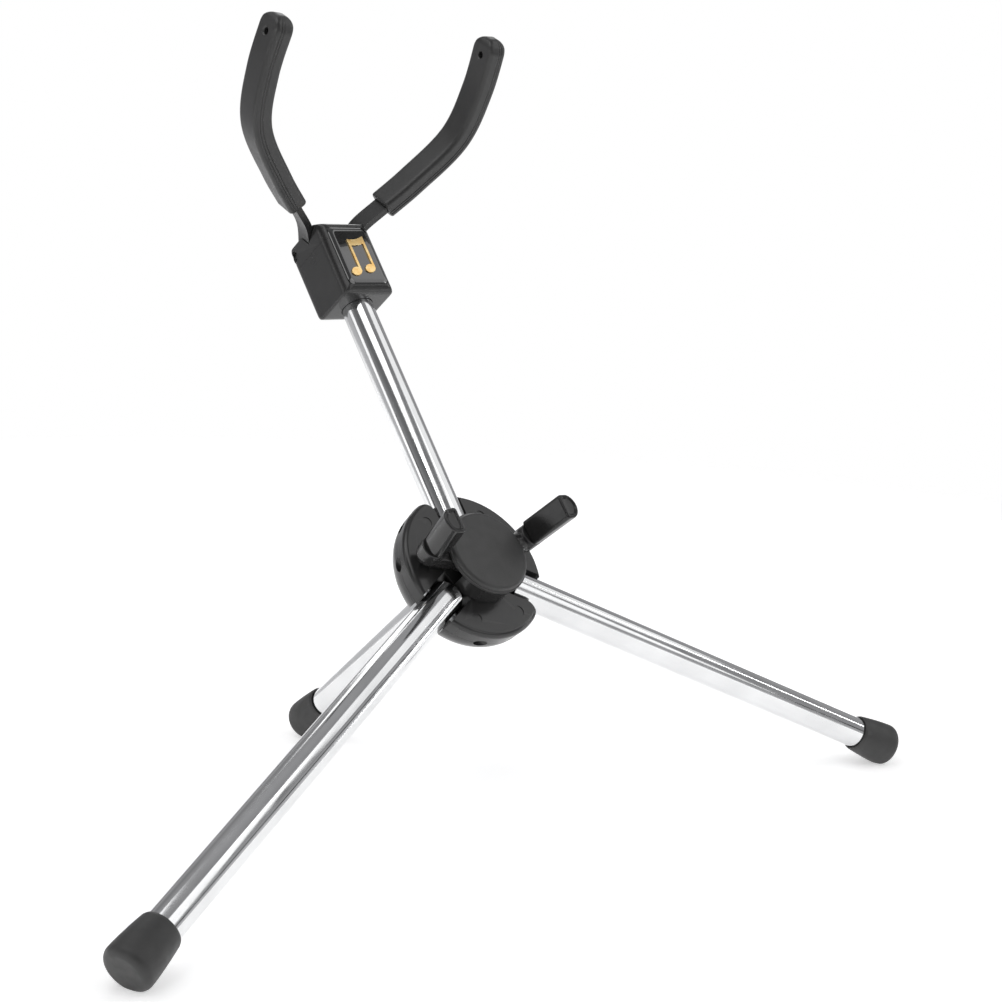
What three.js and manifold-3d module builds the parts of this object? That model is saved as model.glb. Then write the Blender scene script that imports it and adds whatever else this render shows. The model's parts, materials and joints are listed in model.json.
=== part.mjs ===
// Folding saxophone stand: a tripod hub that carries two front legs, a rear leg, a neck with a
// two-armed fork for the bell, and two pegs for the body. Millimetres, +Z up, +X to the right,
// the stand faces -Y. The origin is on the floor, under the middle of the stand's outline.
import * as THREE from 'three';
import { mergeVertices } from 'three/addons/utils/BufferGeometryUtils.js';
import Module from 'manifold-3d';

const wasm = await Module();
wasm.setup();

// ---------- driving dimensions ----------
const GAP = 0.3;                      // clearance kept between pieces that touch
const TUBE_R = 8;                     // 16 mm tube
const TUBE_WALL = 1.2;
const TUBE_BORE_R = TUBE_R - TUBE_WALL;

const HUB_HEIGHT = 120.9;             // centre of the hub's front face above the floor
const HUB_TILT = 41.3;                // the front face leans back this many degrees
const HUB_R = 38.7;
const HUB_EDGE_R = 2.5;               // rounding of the front face's rim
const SHELL_DRAFT = 0.4;              // the shells are this much narrower where they part
const HUB_SPLIT = -8;                 // the two shells part here, on the hinge pins' axes
const HUB_BACK = -26;                 // back of the bowl
const TUBE_AXIS_Z = -4.06;            // tube axes, behind the front face
const SLOT_HALF = 8.9;
const SLOT_INNER_R = 17.6;            // inner end of each limb slot
const SLOT_MOUTH_R = 6;               // rounding of the slot corners at the rim
const SHELF_OUTER_R = 21.3;           // the stop shelf under a limb's tongue ends here
const SHELF_Z = -11.1;

const HINGE_R = 27.5;                 // hinge pins' distance from the hub axis
const HINGE_PIN_R = 2.2;
const HINGE_PIN_HALF = 17;
const HINGE_BORE_R = 2.55;

const SHELL_SCREW_R = 1.8;            // three screws hold the shells together, from the back
const SHELL_SCREW_HEAD_R = 3.4;
const SHELL_SCREW_CIRCLE = 24;
const SHELL_SCREW_ANGLES = [30, 150, 270];
const SHELL_SCREW_SEAT = -18.4;
const SHELL_SCREW_HEAD = 2.2;         // height of the head
const SHELL_SCREW_TIP = -3.6;
const CENTRE_BOLT_R = 3;
const CENTRE_BOLT_HEAD_R = 6;
const CENTRE_BOLT_HEAD = [1.6, 6];    // from and to, above the front face
const SOCKET_GRIP = 30;               // the centre bolt reaches this far into the rear plug

const TUBE_START = 22.7;              // inner ends of the limb tubes, from the hub axis
const TONGUE_START = 18.3;
const TONGUE_HALF = 6.2;
const PLUG_END = 46;                  // the plugs reach this far out inside the tubes

const LEG_ANGLES = { left: 210, right: -30 };
const LEG_TILT = -2.05;               // front legs drop this many degrees behind the disc plane
const LEG_END = 272.1;                // end of a front foot, from the hub axis
const NECK_ANGLE = 90;
const NECK_TILT = 1.95;
const REAR_END = 171.7;               // end of the rear foot, behind the front face

const SOCKET_R = 12.5;                // rear-leg socket at the back of the hub
const SOCKET_END = -37;
const SOCKET_FLOOR = -14;

const FOOT_LENGTH = 23.6;
const FOOT_MOUTH_R = 9;
const FOOT_END_R = 11.1;
const FOOT_ROUND = 3.2;
const FOOT_LIP = 0.5;                 // chamfer at the foot's mouth
const FOOT_FLOOR = 4;                 // rubber thickness under the tube's end
const FOOT_FLAT = 1.6;                // how much the soles are worn flat

const COLUMN_R = 20.8;
const COLUMN_WALL = 3;
const COLUMN_TOP = 9.4;
const COLUMN_FLOOR = 0.9;
const CAP_R = 21.7;
const CAP_FRONT = 13.5;
const CAP_ROUND = 1.4;
const CAP_CHAMFER = 0.4;

const PEG_PIVOT = [12, 1.5];          // swivel screw of each peg, in the hub plane
const PEG_ELBOW = [30, 6, 6.8];       // where the peg turns forward
const PEG_LEAN = 12;                  // the posts lean outwards from the hub axis
const PEG_ARM_R = 6.1;
const PEG_EYE_R = 5.4;
const PEG_BAR_HALF = 4.4;
const PEG_BOSS_R = 2.4;
const PEG_SCREW_R = 1.1;
const PEG_SCREW_HOLE_R = 1.4;
const PEG_POST_R = 3.4;
const PEG_SLEEVE_START = 13.2;        // height of the sleeve's ends above the front face
const PEG_SLEEVE_END = 38;
const PEG_SLEEVE_DEPTH = 9;           // D-shaped section, its flat side towards the hub axis
const PEG_SLEEVE_HALF = 6.5;
const PEG_SLEEVE_CORNER = 1.6;
const PEG_SLEEVE_ROOF = 4;            // thickness over the post's end
const WINDOW_X = [10, 30];            // the column's side windows, which the peg arms swing in
const WINDOW_Y = [-9, 15.5];

const BLOCK_HALF = 15.5;              // head block half width, and depth to its front face
const BLOCK_REAR = -14;
const BLOCK_BOTTOM = 149;
const BLOCK_SEAM = 180.5;
const BLOCK_TOP = 192.2;
const BLOCK_EDGE_R = 4.5;
const NECK_TUBE_END = 176;
const NECK_SCREW_AT = 165;
const NECK_SCREW_R = 1.5;
const NECK_SCREW_HEAD_R = 3.2;
const NECK_SCREW_TIP = -4.5;
const COUNTERBORE = 2.4;
const COLLAR_R = 11;                  // mouth of the countersink round the neck tube
const COLLAR_DEPTH = 2.5;
const BADGE_HALF = 12.3;
const BADGE_BOTTOM = 152.6;
const BADGE_TOP = 186.6;
const BADGE_DEPTH = 1.2;              // pocket in the block's front
const BADGE_PROUD = 0.6;
const BADGE_CORNER = 3;
const NOTES = [[-5.6, 159.6], [3.6, 161.2]];   // heads of the badge's pair of notes
const NOTE_HEAD_R = 3.3;
const NOTE_STEM = 1.4;
const NOTE_TOP = 178.6;
const NOTE_BEAM = 3.6;

const FORK_PIN = [187.3, -11.4];      // fork hinge pin: along the neck, and behind its axis
const FORK_PIN_R = 1.9;
const FORK_BORE_R = 2.3;
const FORK_PIN_HALF = 13.8;
const FORK_BASE = 190.4;              // the fork's plane meets the neck's axis here
const FORK_LEAN = 62.5;               // fork plane leans forward of the neck's line
const ARM_TIP = 113.6;
// how far up its plane the arm is, and how far its centre line then stands from the middle
const ARM_LINE = [
  [-4.5, 11.7],
  [4, 15],
  [9, 18],
  [19.5, 28.2],
  [34, 42.2],
  [60, 62.2],
  [86, 66.5],
  [ARM_TIP, 65.2],
];
const ARM_SLEEVE_START = 19.5;
const STRIP_THICK = 3.4;
const STRIP_HALF = 5;
const STRIP_EYE_X = 11.6;             // middle of the strip's flat eye
const STRIP_EYE_R = 4.4;
const STRIP_SHOULDER = 4.2;           // the root keeps its full width this far down
const STRIP_SHORT = 5;                // the strip ends this far below the sleeve's tip
const STRIP_CLEAR = 0.6;              // room for the folding strip in the head block
const SWEEP_REACH = 12;               // the head block is cleared for the arm up to here
const SLEEVE_THICK = 10.3;
const SLEEVE_HALF = 7.2;              // half width at the sleeve's lower end
const SLEEVE_TIP_HALF = 7.9;          // half width at its tip
const SLEEVE_TIP_R = 7.2;
const SLEEVE_HOLE_R = 1.7;
const SLEEVE_HOLE_BACK = 9;           // tip hole, back from the tip

const ROUND = 24;                     // segments of a large circle
const SMALL = 12;                     // segments of a small circle

// ---------- materials ----------
function finish(color, roughness, metalness) {
  return new THREE.MeshStandardMaterial({ color, roughness, metalness });
}

const MATERIALS = {
  plastic: () => finish(0x2c2c2d, 0.45, 0),
  chrome: () => finish(0xd8dadc, 0.12, 1),
  rubber: () => finish(0x1e1e1f, 0.75, 0),
  steel: () => finish(0x9a9c9e, 0.35, 1),
  painted: () => finish(0x242425, 0.4, 0.3),
  gloss: () => finish(0x101011, 0.08, 0),
  gold: () => finish(0xd9a441, 0.25, 1),
};

// ---------- solid helpers ----------
const deg = THREE.MathUtils.degToRad;

function toSolid(geometry) {
  const bare = geometry.clone();
  bare.deleteAttribute('normal');
  bare.deleteAttribute('uv');
  const merged = mergeVertices(bare, 1e-4);
  const vertProperties = new Float32Array(merged.attributes.position.array);
  const triVerts = new Uint32Array(merged.index.array);
  return new wasm.Manifold(new wasm.Mesh({ numProp: 3, vertProperties, triVerts }));
}

function toGeometry(solid) {
  const mesh = solid.getMesh();
  const geometry = new THREE.BufferGeometry();
  geometry.setAttribute('position', new THREE.BufferAttribute(new Float32Array(mesh.vertProperties), 3));
  geometry.setIndex(new THREE.BufferAttribute(new Uint32Array(mesh.triVerts), 1));
  geometry.computeVertexNormals();
  return geometry;
}

const cut = (base, ...tools) => tools.reduce((solid, tool) => solid.subtract(toSolid(tool)), base);
const join = (base, ...parts) => parts.reduce((solid, part) => solid.add(toSolid(part)), base);

function makeMesh(name, shape, material) {
  const geometry = shape.getMesh ? toGeometry(shape) : shape;
  const mesh = new THREE.Mesh(geometry, MATERIALS[material]());
  mesh.name = name;
  return mesh;
}

// box between two corners
function boxBetween(low, high) {
  const size = high.map((value, i) => value - low[i]);
  const box = new THREE.BoxGeometry(...size);
  box.translate(...low.map((value, i) => value + size[i] / 2));
  return box;
}

// cylinder between two points
function rod(from, to, radius, segments = SMALL) {
  const start = new THREE.Vector3(...from);
  const end = new THREE.Vector3(...to);
  const axis = end.clone().sub(start);
  const cylinder = new THREE.CylinderGeometry(radius, radius, axis.length(), segments);
  const turn = new THREE.Quaternion().setFromUnitVectors(new THREE.Vector3(0, 1, 0), axis.normalize());
  cylinder.applyQuaternion(turn);
  cylinder.translate(...start.add(end).multiplyScalar(0.5).toArray());
  return cylinder;
}

// solid of revolution about Z from [radius, z] pairs, in either order
function turned(profile, segments = ROUND) {
  const points = profile.map(([r, z]) => new THREE.Vector2(r, z));
  if (THREE.ShapeUtils.area(points) < 0) points.reverse();
  const lathe = new THREE.LatheGeometry(points, segments);
  lathe.rotateX(Math.PI / 2);
  return lathe;
}

// points of an arc, angles in degrees
function arc([cx, cy], radius, from, to, steps) {
  return Array.from({ length: steps + 1 }, (_, i) => {
    const angle = deg(from + (to - from) * i / steps);
    return [cx + radius * Math.cos(angle), cy + radius * Math.sin(angle)];
  });
}

const shapeOf = (points) => new THREE.Shape(points.map(([x, y]) => new THREE.Vector2(x, y)));

function roundedRect(x0, y0, x1, y1, radii, steps = 4) {
  const [r00, r10, r11, r01] = radii;
  return shapeOf([
    ...arc([x0 + r00, y0 + r00], r00, 180, 270, steps),
    ...arc([x1 - r10, y0 + r10], r10, 270, 360, steps),
    ...arc([x1 - r11, y1 - r11], r11, 0, 90, steps),
    ...arc([x0 + r01, y1 - r01], r01, 90, 180, steps),
  ]);
}

function prism(shape, low, high) {
  const depth = high - low;
  const geometry = new THREE.ExtrudeGeometry(shape, { depth, bevelEnabled: false, curveSegments: 1 });
  geometry.translate(0, 0, low);
  return geometry;
}

// prism whose outline lies in the (y, z) plane and that runs along x
function prismAlongX(shape, low, high) {
  const geometry = prism(shape, low, high);
  const axes = new THREE.Matrix4().makeBasis(
    new THREE.Vector3(0, 1, 0),
    new THREE.Vector3(0, 0, 1),
    new THREE.Vector3(1, 0, 0),
  );
  geometry.applyMatrix4(axes);
  return geometry;
}

// ---------- frames ----------
const stand = new THREE.Group();
const hub = new THREE.Group();
hub.position.set(0, 0, HUB_HEIGHT);
hub.rotation.x = deg(90 - HUB_TILT);
stand.add(hub);

// A limb's frame: +Y runs along its tube from the hub axis, +Z looks out of the front face.
function limbGroup(angle, tilt) {
  const turn = new THREE.Group();
  turn.rotation.z = deg(angle - 90);
  const limb = new THREE.Group();
  limb.position.z = TUBE_AXIS_Z;
  limb.rotation.x = deg(tilt);
  turn.add(limb);
  hub.add(turn);
  return limb;
}

// the hinge pin's centre in a limb's own frame
function hingeInLimb(tilt) {
  const drop = HUB_SPLIT - TUBE_AXIS_Z;
  const c = Math.cos(deg(tilt));
  const s = Math.sin(deg(tilt));
  return [HINGE_R * c + drop * s, drop * c - HINGE_R * s];
}

// ---------- hub ----------
const LIMBS = [
  { name: 'neck', angle: NECK_ANGLE, tilt: NECK_TILT, mouth: 1 },
  { name: 'left_leg', angle: LEG_ANGLES.left, tilt: LEG_TILT, mouth: 0 },
  { name: 'right_leg', angle: LEG_ANGLES.right, tilt: LEG_TILT, mouth: -1 },
];

// Slot outline along +Y. Its walls run out past the rim, and on the mouth's side (+1 left, -1 right)
// the wall turns into the rim in a round corner.
function slotShape(inner, mouth) {
  const rim = HUB_R + 6;
  const wall = (side) => {
    if (mouth !== side) return [[-side * SLOT_HALF, rim]];
    const offset = SLOT_HALF + SLOT_MOUTH_R;
    const height = Math.sqrt((HUB_R - SLOT_MOUTH_R) ** 2 - offset ** 2);
    const turn = THREE.MathUtils.radToDeg(Math.atan2(height, offset));
    const corner = arc([offset, height], SLOT_MOUTH_R, 180, turn, 7);
    const [x, y] = corner.at(-1);
    const outward = [x * rim / HUB_R, y * rim / HUB_R];
    return [...corner, outward].map(([px, py]) => [-side * px, py]);
  };
  return shapeOf([[SLOT_HALF, inner], [-SLOT_HALF, inner], ...wall(1), ...wall(-1).reverse()].reverse());
}

function limbSlots(inner, low, high) {
  return LIMBS.map(({ angle, mouth }) => {
    const slot = prism(slotShape(inner, mouth), low, high);
    slot.rotateZ(deg(angle - 90));
    return slot;
  });
}

function hingeRods(radius, half) {
  return LIMBS.map(({ angle }) => {
    const pin = rod([-half, HINGE_R, HUB_SPLIT], [half, HINGE_R, HUB_SPLIT], radius);
    pin.rotateZ(deg(angle - 90));
    return pin;
  });
}

// cylinder along the hub's axis on the shell screws' circle
function screwRod(angle, low, high, radius) {
  const x = SHELL_SCREW_CIRCLE * Math.cos(deg(angle));
  const y = SHELL_SCREW_CIRCLE * Math.sin(deg(angle));
  return rod([x, y, low], [x, y, high], radius);
}

function hubFrontShell() {
  const profile = [
    [0, HUB_SPLIT + GAP / 2],
    [HUB_R - SHELL_DRAFT, HUB_SPLIT + GAP / 2],
    ...arc([HUB_R - HUB_EDGE_R, -HUB_EDGE_R], HUB_EDGE_R, 0, 90, 4),
    [0, 0],
  ];
  const body = toSolid(turned(profile, 2 * ROUND));
  const bolt = rod([0, 0, HUB_BACK], [0, 0, CAP_FRONT], CENTRE_BOLT_R + GAP);
  const screwHoles = SHELL_SCREW_ANGLES.map(
    (angle) => screwRod(angle, HUB_BACK, SHELL_SCREW_TIP + GAP, SHELL_SCREW_R + GAP),
  );
  return cut(
    body,
    ...limbSlots(SLOT_INNER_R, HUB_BACK, CAP_FRONT),
    ...hingeRods(HINGE_BORE_R, HUB_R),
    bolt,
    ...screwHoles,
  );
}

function hubRearShell() {
  const bowlFoot = SOCKET_R + 2;
  const bowl = arc([0, 0], 1, 0, -90, 7).map(([out, down]) => [
    bowlFoot + out * (HUB_R - SHELL_DRAFT - bowlFoot),
    HUB_SPLIT - GAP / 2 + down * (HUB_SPLIT - HUB_BACK),
  ]);
  const profile = [
    [CENTRE_BOLT_R + GAP, HUB_SPLIT - GAP / 2],
    ...bowl,
    [SOCKET_R, HUB_BACK - 1.5],
    [SOCKET_R, SOCKET_END + 1.2],
    [SOCKET_R - 1.2, SOCKET_END],
    [TUBE_R + GAP, SOCKET_END],
    [TUBE_R + GAP, SOCKET_FLOOR],
    [CENTRE_BOLT_R + GAP, SOCKET_FLOOR],
    [CENTRE_BOLT_R + GAP, HUB_SPLIT - GAP / 2],
  ];
  const body = toSolid(turned(profile, 2 * ROUND));
  const screwHoles = SHELL_SCREW_ANGLES.flatMap((angle) => [
    screwRod(angle, SOCKET_END, 0, SHELL_SCREW_R + GAP),
    screwRod(angle, SOCKET_END, SHELL_SCREW_SEAT + GAP, SHELL_SCREW_HEAD_R + GAP),
  ]);
  return cut(
    body,
    ...limbSlots(SHELF_OUTER_R, SOCKET_END - 1, 0),
    ...limbSlots(SLOT_INNER_R, SHELF_Z, 0),
    ...hingeRods(HINGE_BORE_R, HUB_R),
    ...screwHoles,
  );
}

function shellScrew(angle) {
  const top = SHELL_SCREW_SEAT - SHELL_SCREW_HEAD;
  const shank = toSolid(screwRod(angle, top + 1, SHELL_SCREW_TIP, SHELL_SCREW_R));
  return join(shank, screwRod(angle, top, SHELL_SCREW_SEAT, SHELL_SCREW_HEAD_R));
}

// cylinder about a peg's swivel axis
function pivotRod(side, low, high, radius) {
  const [x, y] = PEG_PIVOT;
  return rod([side * x, y, low], [side * x, y, high], radius);
}

function pegColumn() {
  const profile = [
    [CENTRE_BOLT_R + GAP, GAP],
    [COLUMN_R, GAP],
    [COLUMN_R, COLUMN_TOP],
    [COLUMN_R - COLUMN_WALL, COLUMN_TOP],
    [COLUMN_R - COLUMN_WALL, GAP + COLUMN_FLOOR],
    [CENTRE_BOLT_R + GAP, GAP + COLUMN_FLOOR],
    [CENTRE_BOLT_R + GAP, GAP],
  ];
  const windows = [[-WINDOW_X[1], -WINDOW_X[0]], WINDOW_X].map(([from, to]) => boxBetween(
    [from, WINDOW_Y[0], GAP + COLUMN_FLOOR],
    [to, WINDOW_Y[1], CAP_FRONT],
  ));
  const body = cut(toSolid(turned(profile, 2 * ROUND)), ...windows);
  const bosses = [-1, 1].map((side) => pivotRod(side, GAP, COLUMN_TOP, PEG_BOSS_R));
  const screwHoles = [-1, 1].map((side) => pivotRod(side, 0, CAP_FRONT, PEG_SCREW_HOLE_R));
  return cut(join(body, ...bosses), ...screwHoles);
}

function frontCap() {
  const skirt = COLUMN_TOP + GAP;
  return turned([
    [0, skirt],
    [CAP_R - CAP_CHAMFER, skirt],
    [CAP_R, skirt + CAP_CHAMFER],
    ...arc([CAP_R - CAP_ROUND, CAP_FRONT - CAP_ROUND], CAP_ROUND, 0, 90, 4),
    [0, CAP_FRONT],
  ], 2 * ROUND);
}

function centreBolt() {
  const [seat, top] = CENTRE_BOLT_HEAD;
  const shank = toSolid(rod([0, 0, -SOCKET_GRIP], [0, 0, seat + 1], CENTRE_BOLT_R));
  return join(shank, rod([0, 0, seat], [0, 0, top], CENTRE_BOLT_HEAD_R, 6));
}

hub.add(makeMesh('hub_front_shell', hubFrontShell(), 'plastic'));
hub.add(makeMesh('hub_rear_shell', hubRearShell(), 'plastic'));
hub.add(makeMesh('peg_column', pegColumn(), 'plastic'));
hub.add(makeMesh('front_cap', frontCap(), 'plastic'));
hub.add(makeMesh('hub_centre_bolt', centreBolt(), 'steel'));
SHELL_SCREW_ANGLES.forEach((angle, i) => {
  hub.add(makeMesh(`hub_shell_screw_${i + 1}`, shellScrew(angle), 'steel'));
});
hingeRods(HINGE_PIN_R, HINGE_PIN_HALF).forEach((pin, i) => {
  hub.add(makeMesh(`${LIMBS[i].name}_hinge_pin`, pin, 'steel'));
});

// ---------- tubes, plugs and feet ----------
function tube(from, to) {
  const body = turned([
    [TUBE_BORE_R, from],
    [TUBE_R, from],
    [TUBE_R, to],
    [TUBE_BORE_R, to],
    [TUBE_BORE_R, from],
  ]);
  body.rotateX(-Math.PI / 2);
  return body;
}

// rubber foot around +Y, its sole at y = end
function foot(end) {
  const mouth = end - FOOT_LENGTH;
  const bore = TUBE_R + GAP;
  const body = turned([
    [0, end - FOOT_FLOOR],
    [bore, end - FOOT_FLOOR],
    [bore, mouth],
    [FOOT_MOUTH_R, mouth],
    [FOOT_MOUTH_R + FOOT_LIP, mouth + FOOT_LIP],
    ...arc([FOOT_END_R - FOOT_ROUND, end - FOOT_ROUND], FOOT_ROUND, 0, 90, 5),
    [0, end],
  ]);
  body.rotateX(-Math.PI / 2);
  return body;
}

// cuts the sole where the floor is, in the frame of the foot's group
function soleFlat(group) {
  stand.updateMatrixWorld(true);
  const reach = 600;
  const floor = boxBetween([-reach, -reach, -100], [reach, reach, FOOT_FLAT]);
  floor.applyMatrix4(group.matrixWorld.clone().invert());
  return floor;
}

// cylinder along a limb's tube
const alongLimb = (from, to, radius) => rod([0, from, 0], [0, to, 0], radius, ROUND);

// bore across a limb for its hinge pin
function hingeBore(tilt) {
  const [y, z] = hingeInLimb(tilt);
  return rod([-HINGE_PIN_HALF, y, z], [HINGE_PIN_HALF, y, z], HINGE_BORE_R);
}

// plastic plug in a limb tube's inner end, with the tongue that rests on the hub's stop shelf
function limbPlug(tilt) {
  const bore = TUBE_BORE_R - GAP;
  const shank = toSolid(alongLimb(TUBE_START + GAP, PLUG_END, bore));
  const tongue = shapeOf([
    [TONGUE_START, -TONGUE_HALF],
    [TUBE_START + 1, -TONGUE_HALF],
    [TUBE_START + 1, 4],
    [TUBE_START - GAP, 5.4],
    [TONGUE_START + 1, 1.4],
    [TONGUE_START, 0],
  ]);
  const inTube = alongLimb(TONGUE_START - 1, PLUG_END, bore);
  const outside = boxBetween([-TUBE_R, TONGUE_START - 1, -TUBE_R], [TUBE_R, TUBE_START - GAP, TUBE_R]);
  const bar = toSolid(prismAlongX(tongue, -TONGUE_HALF, TONGUE_HALF));
  const trimmed = bar.intersect(join(toSolid(inTube), outside));
  return cut(shank.add(trimmed), hingeBore(tilt));
}

const limbTube = (tilt, end) => cut(toSolid(tube(TUBE_START, end)), hingeBore(tilt));

for (const side of ['left', 'right']) {
  const limb = limbGroup(LEG_ANGLES[side], LEG_TILT);
  limb.add(makeMesh(`${side}_leg_tube`, limbTube(LEG_TILT, LEG_END - FOOT_FLOOR - GAP), 'chrome'));
  limb.add(makeMesh(`${side}_leg_plug`, limbPlug(LEG_TILT), 'plastic'));
  limb.add(makeMesh(`${side}_foot`, cut(toSolid(foot(LEG_END)), soleFlat(limb)), 'rubber'));
}

// the rear leg runs straight back from the hub
const rearLeg = new THREE.Group();
rearLeg.rotation.x = -Math.PI / 2;
hub.add(rearLeg);
const REAR_TUBE_START = -SOCKET_FLOOR + GAP;

function rearPlug() {
  const body = toSolid(alongLimb(REAR_TUBE_START + 1, PLUG_END, TUBE_BORE_R - GAP));
  return cut(body, alongLimb(0, SOCKET_GRIP + 1, CENTRE_BOLT_R + GAP));
}

rearLeg.add(makeMesh('rear_leg_tube', tube(REAR_TUBE_START, REAR_END - FOOT_FLOOR - GAP), 'chrome'));
rearLeg.add(makeMesh('rear_leg_plug', rearPlug(), 'plastic'));
rearLeg.add(makeMesh('rear_foot', cut(toSolid(foot(REAR_END)), soleFlat(rearLeg)), 'rubber'));

// ---------- pegs ----------
// All of these are the right peg; the left one mirrors it. The arm's flat eye turns on a boss.
const postShear = new THREE.Matrix4().set(
  1, 0, Math.tan(deg(PEG_LEAN)), -PEG_ELBOW[2] * Math.tan(deg(PEG_LEAN)),
  0, 1, 0, 0,
  0, 0, 1, 0,
  0, 0, 0, 1,
);

// a prism that leans with the peg's post, over the elbow
function leaningPrism(shape, low, high) {
  const geometry = prism(shape, low, high);
  geometry.translate(PEG_ELBOW[0], PEG_ELBOW[1], 0);
  geometry.applyMatrix4(postShear);
  return geometry;
}

const circleShape = (radius, steps) => shapeOf(arc([0, 0], radius, 0, 360, steps).slice(0, -1));

function pegArm() {
  const [px, py] = PEG_PIVOT;
  const [ex, ey, ez] = PEG_ELBOW;
  const low = GAP + COLUMN_FLOOR + GAP;
  const high = COLUMN_TOP - GAP;
  const reach = new THREE.Vector2(ex - px, ey - py);
  const bar = boxBetween([0, -PEG_BAR_HALF, low], [reach.length() - 1, PEG_BAR_HALF, high]);
  bar.rotateZ(reach.angle());
  bar.translate(px, py, 0);
  const swell = 0.68;                 // share of the bar's length where it swells to the elbow
  const ball = new THREE.SphereGeometry(PEG_ARM_R, 16, 8);
  ball.translate(...PEG_ELBOW);
  const solid = join(
    toSolid(rod([px, py, low], [px, py, high], PEG_EYE_R, ROUND)),
    bar,
    rod([px + reach.x * swell, py + reach.y * swell, ez], PEG_ELBOW, PEG_ARM_R, 16),
    ball,
    leaningPrism(circleShape(PEG_ARM_R, 16), ez, PEG_SLEEVE_START - GAP),
    leaningPrism(circleShape(PEG_POST_R, 16), ez, PEG_SLEEVE_END - PEG_SLEEVE_ROOF),
  );
  return cut(solid, pivotRod(1, 0, CAP_FRONT, PEG_BOSS_R + GAP));
}

// flat side at -x, rounded side at +x
function sleeveSection() {
  const half = PEG_SLEEVE_DEPTH / 2;
  const crown = arc([0, 0], 1, -75, 75, 10).map(([x, y]) => [x * (half + 1) - 1, y * PEG_SLEEVE_HALF]);
  const inset = PEG_SLEEVE_HALF - PEG_SLEEVE_CORNER;
  return shapeOf([
    ...crown,
    ...arc([-half + PEG_SLEEVE_CORNER, inset], PEG_SLEEVE_CORNER, 90, 180, 2),
    ...arc([-half + PEG_SLEEVE_CORNER, -inset], PEG_SLEEVE_CORNER, 180, 270, 2),
  ]);
}

function pegSleeve() {
  const body = toSolid(leaningPrism(sleeveSection(), PEG_SLEEVE_START, PEG_SLEEVE_END));
  const roof = PEG_SLEEVE_END - PEG_SLEEVE_ROOF + GAP;
  return cut(body, leaningPrism(circleShape(PEG_POST_R + GAP, 16), 0, roof));
}

const pegScrew = () => pivotRod(1, GAP + 0.2, COLUMN_TOP - 0.4, PEG_SCREW_R);

for (const side of ['left', 'right']) {
  const flip = side === 'left' ? [-1, 1, 1] : [1, 1, 1];
  const place = (solid) => solid.scale(flip);
  hub.add(makeMesh(`${side}_peg_arm`, place(pegArm()), 'plastic'));
  hub.add(makeMesh(`${side}_peg_sleeve`, place(pegSleeve()), 'rubber'));
  hub.add(makeMesh(`${side}_peg_screw`, place(toSolid(pegScrew())), 'steel'));
}

// ---------- neck and head block ----------
const neck = limbGroup(NECK_ANGLE, NECK_TILT);

// outline of the block seen from its side, in the (along the neck, front) plane
function blockSide() {
  const [pinY, pinZ] = FORK_PIN;
  return shapeOf([
    ...arc([BLOCK_BOTTOM + 3.5, BLOCK_REAR + 3.5], 3.5, 270, 180, 4),
    ...arc([BLOCK_BOTTOM + 4, BLOCK_HALF - 4], 4, 180, 90, 4),
    ...arc([BLOCK_TOP - 5, BLOCK_HALF - 3], 3, 90, 30, 3),
    [BLOCK_TOP, BLOCK_HALF - 6],
    ...arc([pinY + 0.5, pinZ + 1.3], 4.6, 0, -90, 5),
  ].reverse());
}

// outline of the block seen along the neck, in the (right, front) plane
function blockPlan(radius) {
  const rear = 3;
  return roundedRect(-BLOCK_HALF, BLOCK_REAR - 0.5, BLOCK_HALF, BLOCK_HALF, [rear, rear, radius, radius]);
}

// prism along the neck (+Y) from an outline in the (x, z) plane
function prismAlongY(shape, low, high) {
  const geometry = prism(shape, low, high);
  const axes = new THREE.Matrix4().makeBasis(
    new THREE.Vector3(-1, 0, 0),
    new THREE.Vector3(0, 0, 1),
    new THREE.Vector3(0, 1, 0),
  );
  geometry.applyMatrix4(axes);
  return geometry;
}

function blockSolid(low, high, edge) {
  const column = toSolid(prismAlongY(blockPlan(edge), low, high));
  const side = toSolid(prismAlongX(blockSide(), -BLOCK_HALF - 1, BLOCK_HALF + 1));
  return column.intersect(side);
}

function badgePocket(clearance, low, high) {
  const shape = roundedRect(
    -BADGE_HALF - clearance,
    BADGE_BOTTOM - clearance,
    BADGE_HALF + clearance,
    BADGE_TOP + clearance,
    Array(4).fill(BADGE_CORNER),
  );
  return prism(shape, low, high);
}

// countersink in the block's underside, round the neck tube
function collar() {
  const cone = turned([
    [0, BLOCK_BOTTOM - 1],
    [COLLAR_R, BLOCK_BOTTOM - 1],
    [COLLAR_R, BLOCK_BOTTOM],
    [TUBE_R, BLOCK_BOTTOM + COLLAR_DEPTH],
    [0, BLOCK_BOTTOM + COLLAR_DEPTH],
  ]);
  cone.rotateX(-Math.PI / 2);
  return cone;
}

// cylinder about the neck screw's axis, front to back
const neckScrewRod = (from, to, radius) => rod([0, NECK_SCREW_AT, from], [0, NECK_SCREW_AT, to], radius);

function headBlockLower() {
  const body = blockSolid(BLOCK_BOTTOM, BLOCK_SEAM - GAP / 2, BLOCK_EDGE_R);
  return cut(
    body,
    alongLimb(0, NECK_TUBE_END + GAP, TUBE_R + GAP),
    collar(),
    badgePocket(GAP, BLOCK_HALF - BADGE_DEPTH, BLOCK_HALF + 5),
    neckScrewRod(BLOCK_REAR - 5, 0, NECK_SCREW_R + GAP),
    neckScrewRod(BLOCK_REAR - 5, BLOCK_REAR + COUNTERBORE, NECK_SCREW_HEAD_R + GAP),
  );
}

// the screw that holds the neck tube in the block, from the back
function neckScrew() {
  const top = BLOCK_REAR + 0.4;
  const shank = toSolid(neckScrewRod(top + 1, NECK_SCREW_TIP, NECK_SCREW_R));
  return join(shank, neckScrewRod(top, BLOCK_REAR + COUNTERBORE - GAP, NECK_SCREW_HEAD_R));
}

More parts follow.
